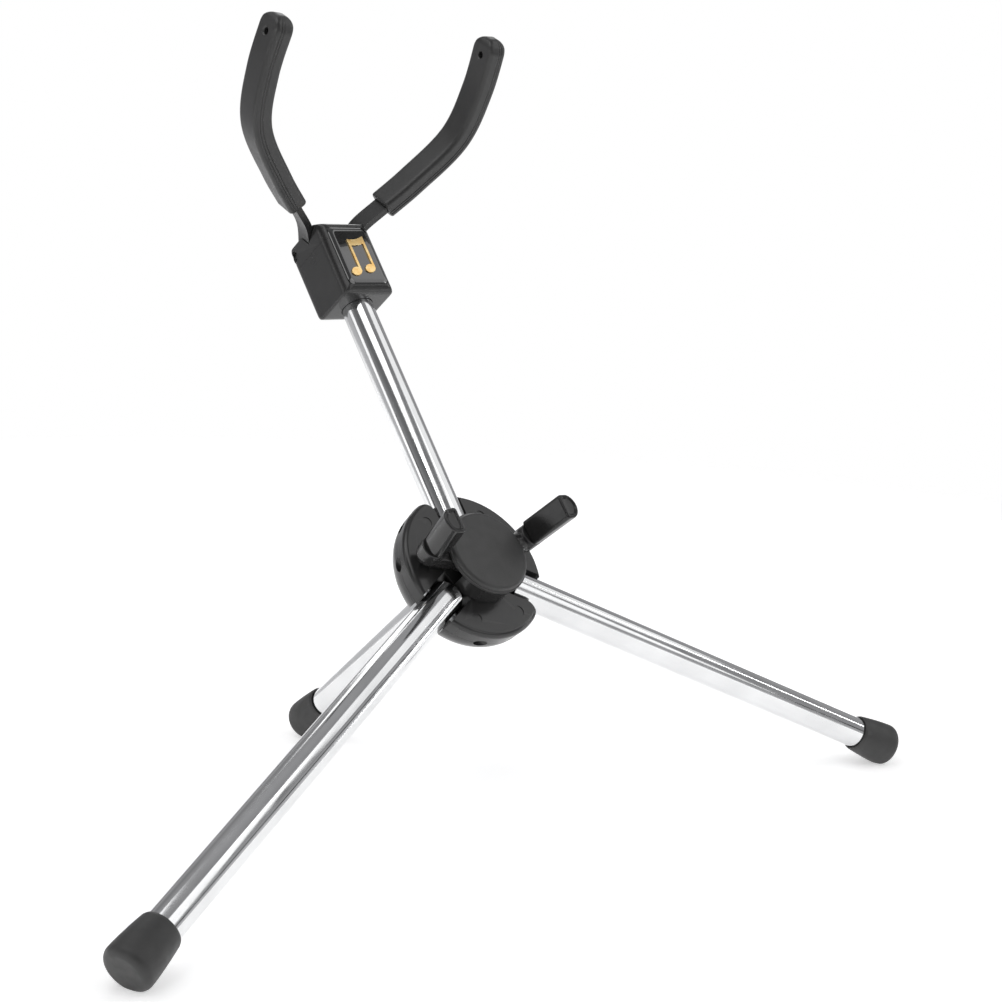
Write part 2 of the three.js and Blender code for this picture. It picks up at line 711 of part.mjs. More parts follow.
function neckTube() {
  return cut(limbTube(NECK_TILT, NECK_TUBE_END), neckScrewRod(BLOCK_REAR, 0, NECK_SCREW_R + GAP));
}

// rotates a geometry given in the fork's (x, up the arm, in front of it) frame into the neck's frame
function forkToNeck(geometry) {
  geometry.rotateX(deg(FORK_LEAN));
  geometry.translate(0, FORK_BASE, 0);
  return geometry;
}

// the pin in the fork's frame
function pinInFork() {
  const c = Math.cos(deg(FORK_LEAN));
  const s = Math.sin(deg(FORK_LEAN));
  const y = FORK_PIN[0] - FORK_BASE;
  const z = FORK_PIN[1];
  return [y * c + z * s, z * c - y * s];
}

const armCurve = new THREE.CatmullRomCurve3(
  ARM_LINE.map(([v, x]) => new THREE.Vector3(x, v, 0)),
  false,
  'centripetal',
);

// outline of a bar of the given thickness along the arm's centre line, between two shares of it
function ribbon(from, to, thickness, steps) {
  const left = [];
  const right = [];
  for (let i = 0; i <= steps; i += 1) {
    const t = from + (to - from) * i / steps;
    const point = armCurve.getPointAt(t);
    const dir = armCurve.getTangentAt(t);
    left.push([point.x - dir.y * thickness / 2, point.y + dir.x * thickness / 2]);
    right.push([point.x + dir.y * thickness / 2, point.y - dir.x * thickness / 2]);
  }
  return shapeOf([...right, ...left.reverse()]);
}

// share of the arm's length at which it reaches the given height
function shareAt(height) {
  let low = 0;
  let high = 1;
  for (let i = 0; i < 40; i += 1) {
    const middle = (low + high) / 2;
    if (armCurve.getPointAt(middle).y < height) low = middle;
    else high = middle;
  }
  return low;
}

// the strip's flat eye and root, in the fork's frame, grown by a clearance
function stripRoot(grow) {
  const [pinV, pinW] = pinInFork();
  const half = STRIP_HALF + grow;
  const outline = shapeOf([
    [0, -half],
    [0, half],
    [-STRIP_SHOULDER, half],
    ...arc([pinV, pinW], STRIP_EYE_R + grow, 75, 285, 10),
    [-STRIP_SHOULDER, -half],
  ]);
  const thick = STRIP_THICK / 2 + grow;
  return prismAlongX(outline, STRIP_EYE_X - thick, STRIP_EYE_X + thick);
}

function stripBend(grow, to) {
  return prism(ribbon(0, to, STRIP_THICK + 2 * grow, 20), -STRIP_HALF - grow, STRIP_HALF + grow);
}

// everything a folding strip passes through, in the fork's frame: it swings back about the pin
function stripSweep() {
  const [pinV, pinW] = pinInFork();
  const corner = new THREE.Vector2(-pinV, STRIP_HALF + STRIP_CLEAR - pinW);
  const start = THREE.MathUtils.radToDeg(corner.angle());
  const sector = shapeOf([[pinV, pinW], ...arc([pinV, pinW], corner.length(), start, start - 90, 12)]);
  const thick = STRIP_THICK / 2 + STRIP_CLEAR;
  const steps = [0, 15, 30, 50, 70, 90];
  const pieces = () => [stripRoot(STRIP_CLEAR), stripBend(STRIP_CLEAR, shareAt(SWEEP_REACH))];
  const turnedPieces = steps.flatMap((angle) => pieces().map((piece) => {
    piece.translate(0, -pinV, -pinW);
    piece.rotateX(deg(-angle));
    piece.translate(0, pinV, pinW);
    return piece;
  }));
  return [prismAlongX(sector, STRIP_EYE_X - thick, STRIP_EYE_X + thick), ...turnedPieces];
}

function headBlockUpper() {
  const body = blockSolid(BLOCK_SEAM + GAP / 2, BLOCK_TOP, 2.5);
  const sweep = stripSweep().map(forkToNeck).map(toSolid);
  const right = sweep.reduce((solid, piece) => solid.add(piece));
  const left = right.scale([-1, 1, 1]);
  return cut(
    body.subtract(right).subtract(left),
    badgePocket(GAP, BLOCK_HALF - BADGE_DEPTH, BLOCK_HALF + 5),
    rod([-BLOCK_HALF - 1, ...FORK_PIN], [BLOCK_HALF + 1, ...FORK_PIN], FORK_BORE_R),
  );
}

function forkStrip() {
  const [pinV, pinW] = pinInFork();
  const root = toSolid(stripRoot(0));
  const bend = toSolid(stripBend(0, shareAt(ARM_TIP - STRIP_SHORT)));
  const bore = rod([0, pinV, pinW], [2 * BLOCK_HALF, pinV, pinW], FORK_BORE_R);
  return cut(root.add(bend), bore, tipHole(SLEEVE_HOLE_R + 2 * GAP));
}

function tipHole(radius) {
  const at = shareAt(ARM_TIP - SLEEVE_HOLE_BACK);
  const point = armCurve.getPointAt(at);
  const across = armCurve.getTangentAt(at);
  const reach = new THREE.Vector3(across.y, -across.x, 0).multiplyScalar(SLEEVE_THICK);
  return rod(point.clone().sub(reach).toArray(), point.clone().add(reach).toArray(), radius);
}

function forkSleeve() {
  const from = shareAt(ARM_SLEEVE_START);
  const body = toSolid(prism(ribbon(from, 1, SLEEVE_THICK, 22), -SLEEVE_TIP_HALF, SLEEVE_TIP_HALF));
  const low = ARM_SLEEVE_START - SLEEVE_THICK;
  const inset = SLEEVE_TIP_HALF - SLEEVE_TIP_R;
  const face = shapeOf([
    [low, -SLEEVE_HALF],
    ...arc([ARM_TIP - SLEEVE_TIP_R, -inset], SLEEVE_TIP_R, -90, 0, 6),
    ...arc([ARM_TIP - SLEEVE_TIP_R, inset], SLEEVE_TIP_R, 0, 90, 6),
    [low, SLEEVE_HALF],
  ]);
  const tipped = body.intersect(toSolid(prismAlongX(face, 0, ARM_TIP)));
  return cut(tipped, stripBend(GAP, shareAt(ARM_TIP - STRIP_SHORT + 2 * GAP)), tipHole(SLEEVE_HOLE_R));
}

// a plain pair of joined quavers
function badgeEmblem() {
  const low = BLOCK_HALF + BADGE_PROUD + GAP;
  const high = low + 2 * GAP;
  const noteHead = (x, y) => {
    const head = new THREE.CylinderGeometry(NOTE_HEAD_R, NOTE_HEAD_R, high - low, 20);
    head.rotateX(Math.PI / 2);
    head.scale(1, 0.72, 1);
    head.rotateZ(deg(20));
    head.translate(x, y, (low + high) / 2);
    return head;
  };
  const stem = (x, y, top) => boxBetween([x - NOTE_STEM / 2, y, low], [x + NOTE_STEM / 2, top, high]);
  const [left, right] = NOTES.map(([x, y]) => [x + NOTE_HEAD_R - NOTE_STEM / 2, y]);
  const rise = 2;                     // the beam climbs this much from the left stem to the right one
  const edge = NOTE_STEM / 2;
  const beam = prism(shapeOf([
    [left[0] - edge, NOTE_TOP - NOTE_BEAM],
    [right[0] + edge, NOTE_TOP + rise - NOTE_BEAM],
    [right[0] + edge, NOTE_TOP + rise],
    [left[0] - edge, NOTE_TOP],
  ]), low, high);
  return join(
    toSolid(beam),
    ...NOTES.map(([x, y]) => noteHead(x, y)),
    stem(...left, NOTE_TOP - 1),
    stem(...right, NOTE_TOP + rise - 1),
  );
}

const forkPin = () => rod([-FORK_PIN_HALF, ...FORK_PIN], [FORK_PIN_HALF, ...FORK_PIN], FORK_PIN_R);

const badgePlate = () => badgePocket(0, BLOCK_HALF - BADGE_DEPTH + GAP, BLOCK_HALF + BADGE_PROUD);

neck.add(makeMesh('neck_tube', neckTube(), 'chrome'));
neck.add(makeMesh('neck_plug', limbPlug(NECK_TILT), 'plastic'));
neck.add(makeMesh('head_block_lower', headBlockLower(), 'plastic'));
neck.add(makeMesh('head_block_upper', headBlockUpper(), 'plastic'));
neck.add(makeMesh('badge_plate', badgePlate(), 'gloss'));
neck.add(makeMesh('badge_emblem', badgeEmblem(), 'gold'));
neck.add(makeMesh('head_block_screw', neckScrew(), 'steel'));
neck.add(makeMesh('fork_pivot_pin', forkPin(), 'steel'));

for (const side of ['left', 'right']) {
  const flip = side === 'left' ? [-1, 1, 1] : [1, 1, 1];
  const place = (solid) => toSolid(forkToNeck(toGeometry(solid.scale(flip))));
  neck.add(makeMesh(`${side}_fork_strip`, place(forkStrip()), 'painted'));
  neck.add(makeMesh(`${side}_fork_sleeve`, place(forkSleeve()), 'rubber'));
}

// ---------- stand the whole on the floor ----------
stand.updateMatrixWorld(true);
const outline = new THREE.Box3().setFromObject(stand, true);
const middle = outline.getCenter(new THREE.Vector3());
stand.position.set(-middle.x, -middle.y, -outline.min.z);

export default stand;
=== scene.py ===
"""Looks of a folding saxophone stand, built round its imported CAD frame.

Every piece is made in local axes, in millimetres, and set into the frame in metres.
"""
import json
import math

import bmesh
import bpy
import numpy as np
from mathutils import Matrix, Vector


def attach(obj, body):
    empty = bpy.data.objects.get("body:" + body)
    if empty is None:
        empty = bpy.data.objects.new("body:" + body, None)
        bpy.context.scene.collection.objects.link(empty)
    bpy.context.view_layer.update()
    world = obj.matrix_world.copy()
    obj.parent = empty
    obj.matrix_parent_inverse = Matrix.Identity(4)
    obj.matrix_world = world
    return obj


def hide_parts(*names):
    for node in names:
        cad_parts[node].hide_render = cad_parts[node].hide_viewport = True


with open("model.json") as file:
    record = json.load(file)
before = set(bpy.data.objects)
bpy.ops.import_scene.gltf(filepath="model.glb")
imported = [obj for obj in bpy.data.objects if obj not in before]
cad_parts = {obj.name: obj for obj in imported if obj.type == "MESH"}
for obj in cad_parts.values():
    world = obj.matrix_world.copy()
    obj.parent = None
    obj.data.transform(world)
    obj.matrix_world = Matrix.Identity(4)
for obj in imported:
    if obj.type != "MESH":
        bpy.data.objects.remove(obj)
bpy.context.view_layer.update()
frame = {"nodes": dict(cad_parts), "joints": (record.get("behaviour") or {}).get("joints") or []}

# ---------- driving sizes, in millimetres ----------
MM = 0.001
GAP = 0.3                    # clearance between pieces
SEAM = 0.1                   # hairline between the parts of a moulded housing
TUBE_R = 8.0
TUBE_WALL = 1.2
TUBE_LIP = 0.35

HUB_R = 38.7
HUB_EDGE_R = 2.5
HUB_SPLIT = -8.0
HUB_BACK = -26.0
SHELL_DRAFT = 0.4
SLOT_HALF = 8.9
SLOT_INNER_R = 17.6
SLOT_MOUTH_R = 6.0
SHELF_OUTER_R = 21.3
SHELF_Z = -11.1
HINGE_R = 27.5
HINGE_BORE_R = 2.55
SOCKET_R = 12.5
SOCKET_END = -37.0
SOCKET_FLOOR = -14.0
SOCKET_ROUND = 1.5
SCREW_CIRCLE = 24.0
SCREW_ANGLES = (30, 150, 270)
SCREW_HOLE_R = 2.1
SCREW_SEAT = -18.1
SCREW_SEAT_R = 3.7
SCREW_ENDS = (-20.6, -3.6)   # head and tip, along the hub's axis
BOLT_HOLE_R = 3.3
MARK_R = 2.7                 # round ejector marks on the hub's face
MARK_CIRCLE = 30.4
MARK_DEPTH = 0.3
MARK_TURN = 26               # the marks stand this many degrees either side of a shell screw

COLUMN_R = 20.8
COLUMN_WALL = 3.0
COLUMN_TOP = 9.4
COLUMN_FLOOR = 0.9
WINDOW_X = (10, 30)
WINDOW_Y = (-9, 15.5)
CAP_R = 21.7
CAP_FRONT = 13.5
CAP_STEP = 0.7
CAP_LIP = 0.4
CAP_ROUND = 1.9

PEG_PIVOT = (12.0, 1.5)
PEG_ELBOW = (30.0, 6.0, 6.8)
PEG_LEAN = math.radians(12)
PEG_ARM_R = 6.1
PEG_NECK_R = 4.3
PEG_EYE_R = 5.4
PEG_BAR_HALF = 4.4
PEG_BOSS_R = 2.4
PEG_SCREW_HOLE_R = 1.4
PEG_POST_R = 3.4
PEG_SLEEVE = (13.2, 38.0)    # heights of its ends above the hub's face
PEG_SLEEVE_DEPTH = 9.0
PEG_SLEEVE_HALF = 6.5
PEG_SLEEVE_ROOF = 4.0
PEG_SLEEVE_CORNER = 1.6

FOOT_LENGTH = 23.6
FOOT_MOUTH_R = 9.0
FOOT_END_R = 11.1
FOOT_ROUND = 3.5
FOOT_FLOOR = 4.0
FOOT_BEAD = 0.35
FOOT_FIT = 0.12              # slack round the tube inside the foot
FOOT_NECK = (9.4, 1.2)       # radius where the flare starts, and how far it is from the mouth

BLOCK_HALF = 15.5
BLOCK_REAR = -14.0
BLOCK_BOTTOM = 149.0
BLOCK_SEAM = 180.5
BLOCK_TOP = 192.2
BLOCK_FRONT_R = 5.2          # upright edges of the block
BLOCK_REAR_R = 3.4
BLOCK_SOFTENING = 26         # smoothing passes that round its other outer edges
NECK_TUBE_END = 176.0
NECK_SCREW_AT = 165.0
NECK_SCREW_TIP = -4.5
NECK_SCREW_HOLE_R = 1.9
NECK_SCREW_SEAT_R = 3.5
COUNTERBORE = 2.4
BADGE_HALF = 12.3
BADGE_ENDS = (152.6, 186.6)
BADGE_DEPTH = 1.2
BADGE_FIT = 0.12             # gap round the badge in its pocket
BADGE_PROUD = 0.6
BADGE_CORNER = 3.0
NOTE_HEADS = ((-5.6, 159.6), (3.6, 161.2))
NOTE_HEAD_R = 3.3
NOTE_STEM = 1.4
NOTE_TOP = 178.6
NOTE_BEAM = 3.6
NOTE_RISE = 2.0
NOTE_SAG = 0.9

FORK_PIN = (187.3, -11.4)
FORK_BORE_R = 2.3
FORK_DIMPLE_R = 2.9          # round recess over each end of the fork's pin
FORK_BASE = 190.4
FORK_LEAN = math.radians(62.5)
ARM_TIP = 113.6
ARM_LINE = (                 # height up the fork's plane, distance from the middle
    (-4.5, 11.7),
    (4, 15),
    (9, 18),
    (19.5, 28.2),
    (34, 42.2),
    (60, 62.2),
    (86, 66.5),
    (ARM_TIP, 65.2),
)
ARM_SLEEVE_START = 19.5
STRIP_THICK = 3.4
STRIP_HALF = 5.0
STRIP_EYE_X = 11.6
STRIP_EYE_R = 4.4
STRIP_SHOULDER = 4.2
STRIP_SHORT = 5.0
STRIP_CLEAR = 0.4            # room for the folding strip in the head block
SWEEP_REACH = 12.0
SLEEVE_THICK = 10.3
SLEEVE_HALF = 7.2            # half width at the sleeve's lower end
SLEEVE_TIP_HALF = 7.9        # and at its tip
SLEEVE_TIP_R = 7.2
SLEEVE_SIDE_R = 4.0          # rounding of the tip, seen edge on
SLEEVE_CORNER = 2.3
SLEEVE_HOLE_R = 1.7
POCKET_OVERSHOOT = 8.0       # how far the pocket's cutter starts outside the sleeve
SLEEVE_HOLE_BACK = 9.0

RIGHT = Vector((1, 0, 0))
SIDES = (("right", Matrix.Identity(4)), ("left", Matrix.Diagonal((-1, 1, 1, 1))))
MIRROR = SIDES[1][1]


# ---------- local axes, worked out from the frame ----------
def axes_at(origin, y, z):
    """Axes with the given Y, and Z as near the given one as it can be."""
    y = Vector(y).normalized()
    x = y.cross(z).normalized()
    m = Matrix((x, y, x.cross(y))).transposed().to_4x4()
    m.translation = origin
    return m


def points_of(node):
    mesh = frame["nodes"][node].data
    flat = np.empty(len(mesh.vertices) * 3)
    mesh.vertices.foreach_get("co", flat)
    return flat.reshape(-1, 3)


def reach(node, axes):
    """Lowest and highest corner of a CAD node in the given axes, in millimetres."""
    inverse = np.array(axes.inverted())
    local = (points_of(node) @ inverse[:3, :3].T + inverse[:3, 3]) / MM
    return Vector(local.min(0)), Vector(local.max(0))


def long_axis(node):
    """The two ends of a rod-like node's centre line."""
    points = points_of(node)
    middle = (points.min(0) + points.max(0)) / 2
    direction = np.linalg.svd(points - points.mean(0), full_matrices=False)[2][0]
    along = (points - middle) @ direction
    near = points[along < along.min() + MM]
    far = points[along > along.max() - MM]
    return Vector(near.mean(0)), Vector(far.mean(0))


def joint(name):
    return next(j for j in frame["joints"] if j["name"] == name)


def hub_axes():
    """+Z out of the hub's front face, +Y up along it, origin where the hub's axis meets the face."""
    normal = Vector(joint("right_peg_swivel")["axis"])
    level = axes_at((0, 0, 0), normal.cross(RIGHT), normal)
    cap = reach("front_cap", level)
    face = reach("hub_front_shell", level)[1].z
    centre = Vector(((cap[0].x + cap[1].x) / 2, (cap[0].y + cap[1].y) / 2, face))
    return axes_at(level @ (centre * MM), normal.cross(RIGHT), normal)


HUB = hub_axes()
HUB_NORMAL = HUB.col[2].xyz
HUB_CENTRE = HUB.translation.copy()


def limb_axes(tube):
    """+Y along a limb's tube from the point nearest the hub's axis, +Z towards the front."""
    a, b = long_axis(tube)
    near, far = (a, b) if (a - HUB_CENTRE).length < (b - HUB_CENTRE).length else (b, a)
    y = (far - near).normalized()
    across = y - HUB_NORMAL * y.dot(HUB_NORMAL)
    back = (near - HUB_CENTRE).dot(across.normalized()) / across.length
    return axes_at(near - y * back, y, HUB_NORMAL)


NECK = limb_axes("neck_tube")
LEGS = {side: limb_axes(f"{side}_leg_tube") for side in ("left", "right")}
REAR = axes_at(HUB_CENTRE, -HUB_NORMAL, HUB.col[1].xyz)
FORK = NECK @ Matrix.Translation(Vector((0, FORK_BASE, 0)) * MM) @ Matrix.Rotation(FORK_LEAN, 4, "X")


# ---------- mesh building ----------
def arc(centre, radius, start, end, steps):
    """Points of an arc, angles in degrees."""
    angles = [math.radians(start + (end - start) * i / steps) for i in range(steps + 1)]
    return [(centre[0] + radius * math.cos(a), centre[1] + radius * math.sin(a)) for a in angles]


def rounded_rect(low, high, radii, steps=8):
    """radii run from the low corner round by +X."""
    (x0, y0), (x1, y1) = low, high
    a, b, c, d = radii
    return [
        *arc((x0 + a, y0 + a), a, 180, 270, steps),
        *arc((x1 - b, y0 + b), b, 270, 360, steps),
        *arc((x1 - c, y1 - c), c, 0, 90, steps),
        *arc((x0 + d, y1 - d), d, 90, 180, steps),
    ]


def skin(rings, capped=True):
    """Quads between rings of equally many points, and a face over each end."""
    count = len(rings[0])
    points = [p for ring in rings for p in ring]
    last = (len(rings) - 1) * count
    faces = []
    for base in range(0, last, count):
        for i in range(count):
            j = (i + 1) % count
            faces.append((base + i, base + j, base + count + j, base + count + i))
    if capped:
        faces += [tuple(range(count)), tuple(range(last, last + count))]
    return points, faces


def lathe(profile, segments=96):
    """Solid of revolution about Z from (radius, height) pairs that start and end on the axis or close."""
    turns = [2 * math.pi * i / segments for i in range(segments)]
    return skin([[(r * math.cos(a), r * math.sin(a), h) for a in turns] for r, h in profile], capped=False)


def prism(outline, low, high):
    return skin([[(x, y, h) for x, y in outline] for h in (low, high)])


def moved(shape, matrix):
    """A shape's points put through a 4x4 matrix, or through a function of a point."""
    points, faces = shape
    if callable(matrix):
        return [matrix(p) for p in points], faces
    return [tuple(matrix @ Vector(p)) for p in points], faces


ALONG_X = Matrix(((0, 0, 1, 0), (1, 0, 0, 0), (0, 1, 0, 0), (0, 0, 0, 1)))    # outline in (y, z)
ALONG_Y = Matrix(((-1, 0, 0, 0), (0, 0, 1, 0), (0, 1, 0, 0), (0, 0, 0, 1)))   # outline in (-x, z)
LATHE_Y = Matrix.Rotation(-math.pi / 2, 4, "X")                                # lathe axis to +Y


def rod(start, end, radius, segments=48, end_radius=None):
    """Cylinder between two points, or a cone if the end's radius differs."""
    start, end = Vector(start), Vector(end)
    turn = (end - start).to_track_quat("Z", "Y").to_matrix().to_4x4()
    circle = arc((0, 0), 1, 0, 360, segments)[:-1]
    sizes = ((radius, 0), (end_radius or radius, (end - start).length))
    rings = [[(x * r, y * r, h) for x, y in circle] for r, h in sizes]
    return moved(skin(rings), Matrix.Translation(start) @ turn)


def rectangle(low, high):
    return [(low[0], low[1]), (high[0], low[1]), (high[0], high[1]), (low[0], high[1])]


def box_between(low, high):
    return prism(rectangle(low, high), low[2], high[2])


def solid(shape, name="tool"):
    """A mesh object from a shape, still in local millimetres."""
    mesh = bpy.data.meshes.new(name)
    mesh.from_pydata([tuple(p) for p in shape[0]], [], shape[1])
    work = bmesh.new()
    work.from_mesh(mesh)
    bmesh.ops.remove_doubles(work, verts=work.verts, dist=1e-4)
    bmesh.ops.dissolve_degenerate(work, edges=work.edges, dist=1e-5)
    bmesh.ops.recalc_face_normals(work, faces=work.faces)
    work.to_mesh(mesh)
    work.free()
    obj = bpy.data.objects.new(name, mesh)
    bpy.context.scene.collection.objects.link(obj)
    return obj


def add_modifier(obj, kind, **settings):
    modifier = obj.modifiers.new(kind.lower(), kind)
    for name, value in settings.items():
        setattr(modifier, name, value)


def settle(obj):
    """Applies the object's modifiers."""
    bpy.context.view_layer.update()
    graph = bpy.context.evaluated_depsgraph_get()
    mesh = bpy.data.meshes.new_from_object(obj.evaluated_get(graph))
    obj.modifiers.clear()
    obj.data = mesh
    return obj


def combined(base, tools, how="DIFFERENCE"):
    """Cuts tools out of base, joins them to it, or keeps what they share."""
    base = base if isinstance(base, bpy.types.Object) else solid(base)
    tools = [solid(tool) for tool in tools]
    for tool in tools:
        add_modifier(base, "BOOLEAN", operation=how, solver="MANIFOLD", object=tool)
    settle(base)
    for tool in tools:
        bpy.data.objects.remove(tool)
    return base


def bevelled(obj, width, weight=None, segments=3, angle=28):
    """Rounds the sharp edges; weight(point) gives each edge's share of the width."""
    work = bmesh.new()
    work.from_mesh(obj.data)
    bmesh.ops.remove_doubles(work, verts=work.verts, dist=2e-3)
    bmesh.ops.dissolve_limit(work, angle_limit=math.radians(0.6), verts=work.verts, edges=work.edges)
    layer = work.edges.layers.float.new("bevel_weight_edge")
    for edge in work.edges:
        if len(edge.link_faces) == 2 and edge.calc_face_angle(0) > math.radians(angle):
            middle = (edge.verts[0].co + edge.verts[1].co) / 2
            edge[layer] = 1.0 if weight is None else weight(middle)
    work.to_mesh(obj.data)
    work.free()
    add_modifier(
        obj, "BEVEL", width=width, segments=segments, limit_method="WEIGHT", miter_outer="MITER_ARC",
        use_clamp_overlap=True,
    )
    return settle(obj)


def softened(obj, voxel, passes):
    """Even mesh of the same shape with its edges and inner corners rounded off."""
    add_modifier(obj, "REMESH", mode="VOXEL", voxel_size=voxel)
    add_modifier(obj, "SMOOTH", iterations=passes, factor=0.5)
    return settle(obj)


def finished(obj, name, axes, material, body, node, smooth=40):
    """Sets a local piece into the frame, gives it its finish, and lets it ride and stand for its node."""
    obj.name = name
    obj.data.name = name
    obj.data.transform(axes @ Matrix.Scale(MM, 4))
    obj.data.materials.clear()
    obj.data.materials.append(material)
    work = bmesh.new()
    work.from_mesh(obj.data)
    bmesh.ops.recalc_face_normals(work, faces=work.faces)
    work.to_mesh(obj.data)
    work.free()
    for polygon in obj.data.polygons:
        polygon.use_smooth = True
    obj.data.set_sharp_from_angle(angle=math.radians(smooth))
    add_modifier(obj, "WEIGHTED_NORMAL", keep_sharp=True)
    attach(obj, body)
    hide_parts(node)
    return obj


# ---------- materials ----------
NOISE_SPREAD = (0.3, 0.7)    # where most of a noise's values lie
EDGE_RUB_AND_HIGHLIGHT_GAIN = 2.6              # how much paler a convex edge is than its surface: partly rubbed wear, partly a painted highlight


def set_inputs(node, sockets):
    for socket, value in sockets.items():
        node.inputs[socket.replace("_", " ")].default_value = value


def start_material(name, **sockets):
    material = bpy.data.materials.new(name)
    material.use_nodes = True
    shader = material.node_tree.nodes["Principled BSDF"]
    set_inputs(shader, sockets)
    return material, shader


def add_node(owner, kind, **sockets):
    """A new node in a material or the world."""
    node = owner.node_tree.nodes.new("ShaderNode" + kind)
    set_inputs(node, sockets)
    return node


def link(owner, output, socket):
    owner.node_tree.links.new(output, socket)


def noise_of(material, scale, detail):
    """A noise in the piece's own coordinates; scale is in features per metre."""
    texture = add_node(material, "TexNoise", Scale=scale, Detail=detail)
    link(material, add_node(material, "TexCoord").outputs["Object"], texture.inputs["Vector"])
    return texture.outputs["Fac"]


def ranged(material, value, source, target):
    """Maps a value from the source range to the target range, clamped."""
    (a, b), (c, d) = source, target
    node = add_node(material, "MapRange", From_Min=a, From_Max=b, To_Min=c, To_Max=d)
    link(material, value, node.inputs["Value"])
    return node.outputs["Result"]


def blended(material, share, first, second):
    """Colour between two, each a colour or a socket."""
    node = add_node(material, "Mix")
    node.data_type = "RGBA"
    colours = [s for s in node.inputs if s.type == "RGBA"]
    for socket, colour in zip(colours, (first, second)):
        if isinstance(colour, bpy.types.NodeSocket):
            link(material, colour, socket)
        else:
            socket.default_value = (*colour, 1)
    link(material, share, node.inputs["Factor"])
    return next(s for s in node.outputs if s.type == "RGBA")


def uneven(material, shader, noise, low, high, spread=NOISE_SPREAD):
    """Roughness that drifts between two values along a noise."""
    link(material, ranged(material, noise, spread, (low, high)), shader.inputs["Roughness"])


def bumped(material, shader, height, distance, strength=1.0, under=None):
    node = add_node(material, "Bump", Distance=distance, Strength=strength)
    link(material, height, node.inputs["Height"])
    if under is not None:
        link(material, under, node.inputs["Normal"])
    link(material, node.outputs["Normal"], shader.inputs["Normal"])
    return node.outputs["Normal"]


def edges_of(material):
    """1 on convex edges, 0 elsewhere."""
    return ranged(material, add_node(material, "NewGeometry").outputs["Pointiness"], (0.62, 0.72), (0, 1))


def grey(level, warm=0.0):
    return (level * (1 + warm), level, level * (1 - warm))


def black_material(name, level, rough, grain, depth, rub_and_highlight, **sockets):
    """Dark moulded material: mottled colour, paler convex edges (partly rubbed wear, partly a painted
    highlight), uneven gloss and a fine grain.
    """
    material, shader = start_material(name, **sockets)
    cloud = ranged(material, noise_of(material, 60, 5), NOISE_SPREAD, (0, 1))
    colour = blended(material, cloud, grey(level * 0.88), grey(level * 1.14, 0.01))
    # convex edges are painted paler: part rubbed wear, part a painted highlight along the rims
    rubbed_and_lit_edges = ranged(material, edges_of(material), (0, 1), (0, rub_and_highlight))
    link(material, blended(material, rubbed_and_lit_edges, colour, grey(level * EDGE_RUB_AND_HIGHLIGHT_GAIN)), shader.inputs["Base Color"])
    uneven(material, shader, noise_of(material, 220, 6), rough * 0.85, rough * 1.18)
    broad = bumped(material, shader, noise_of(material, 120, 1), depth * MM, 0.2)
    bumped(material, shader, noise_of(material, grain, 3), depth * MM, 0.35, broad)
    return material


def metal_material(name, tones, tone_noise, gloss, gloss_noise, bumps, spreads=(NOISE_SPREAD,) * 2):
    """Metal of mottled tone and uneven gloss; each bump is a noise scale, a depth and a strength."""
    material, shader = start_material(name, Metallic=1.0)
    cloud = ranged(material, noise_of(material, *tone_noise), spreads[0], (0, 1))
    link(material, blended(material, cloud, *tones), shader.inputs["Base Color"])
    uneven(material, shader, noise_of(material, *gloss_noise), *gloss, spreads[1])
    normal = None
    for scale, depth, strength in bumps:
        normal = bumped(material, shader, noise_of(material, scale, 2), depth * MM, strength, normal)
    return material


def gloss_material():
    """Clear-domed black badge with fine dust and hairlines."""
    material, shader = start_material("gloss_badge", Coat_Weight=1.0, Coat_Roughness=0.02, Coat_IOR=1.8)
    dust = ranged(material, noise_of(material, 5000, 1), (0.72, 0.78), (0, 0.5))
    base = blended(material, dust, grey(0.008), grey(0.10, 0.03))
    link(material, base, shader.inputs["Base Color"])
    uneven(material, shader, noise_of(material, 300, 4), 0.06, 0.14)
    bumped(material, shader, noise_of(material, 120, 2), 0.03 * MM, 0.1)
    return material


PLASTIC = black_material("moulded_plastic", 0.025, 0.22, 2200, 0.005, 0.2)
SATIN = black_material("satin_plastic", 0.036, 0.42, 2200, 0.005, 0.6)
RUBBER = black_material("black_rubber", 0.038, 0.50, 1500, 0.02, 0.2)
SLEEVE = black_material("soft_sleeve", 0.030, 0.33, 1900, 0.010, 0.4)
COVER = black_material("peg_cover", 0.014, 0.17, 1900, 0.002, 0.6)
PAINT = black_material("black_paint", 0.014, 0.34, 900, 0.006, 0.5)
CHROME = metal_material(
    "chrome", ((0.74, 0.745, 0.75), (0.84, 0.845, 0.85)), (40, 4),
    (0.08, 0.16), (90, 7), ((30, 0.05, 0.12), (2600, 0.004, 0.15)), ((0.35, 0.7), (0.35, 0.72)),
)
STEEL = metal_material(
    "zinc_steel", ((0.42, 0.43, 0.44), (0.62, 0.63, 0.63)), (500, 5),
    (0.24, 0.42), (900, 4), ((3000, 0.02, 0.3),),
)
GOLD = metal_material(
    "gold_emblem", ((0.92, 0.56, 0.19), (1.0, 0.80, 0.42)), (260, 5),
    (0.16, 0.27), (700, 4), ((500, 0.015, 0.2),),
)
GLOSS = gloss_material()


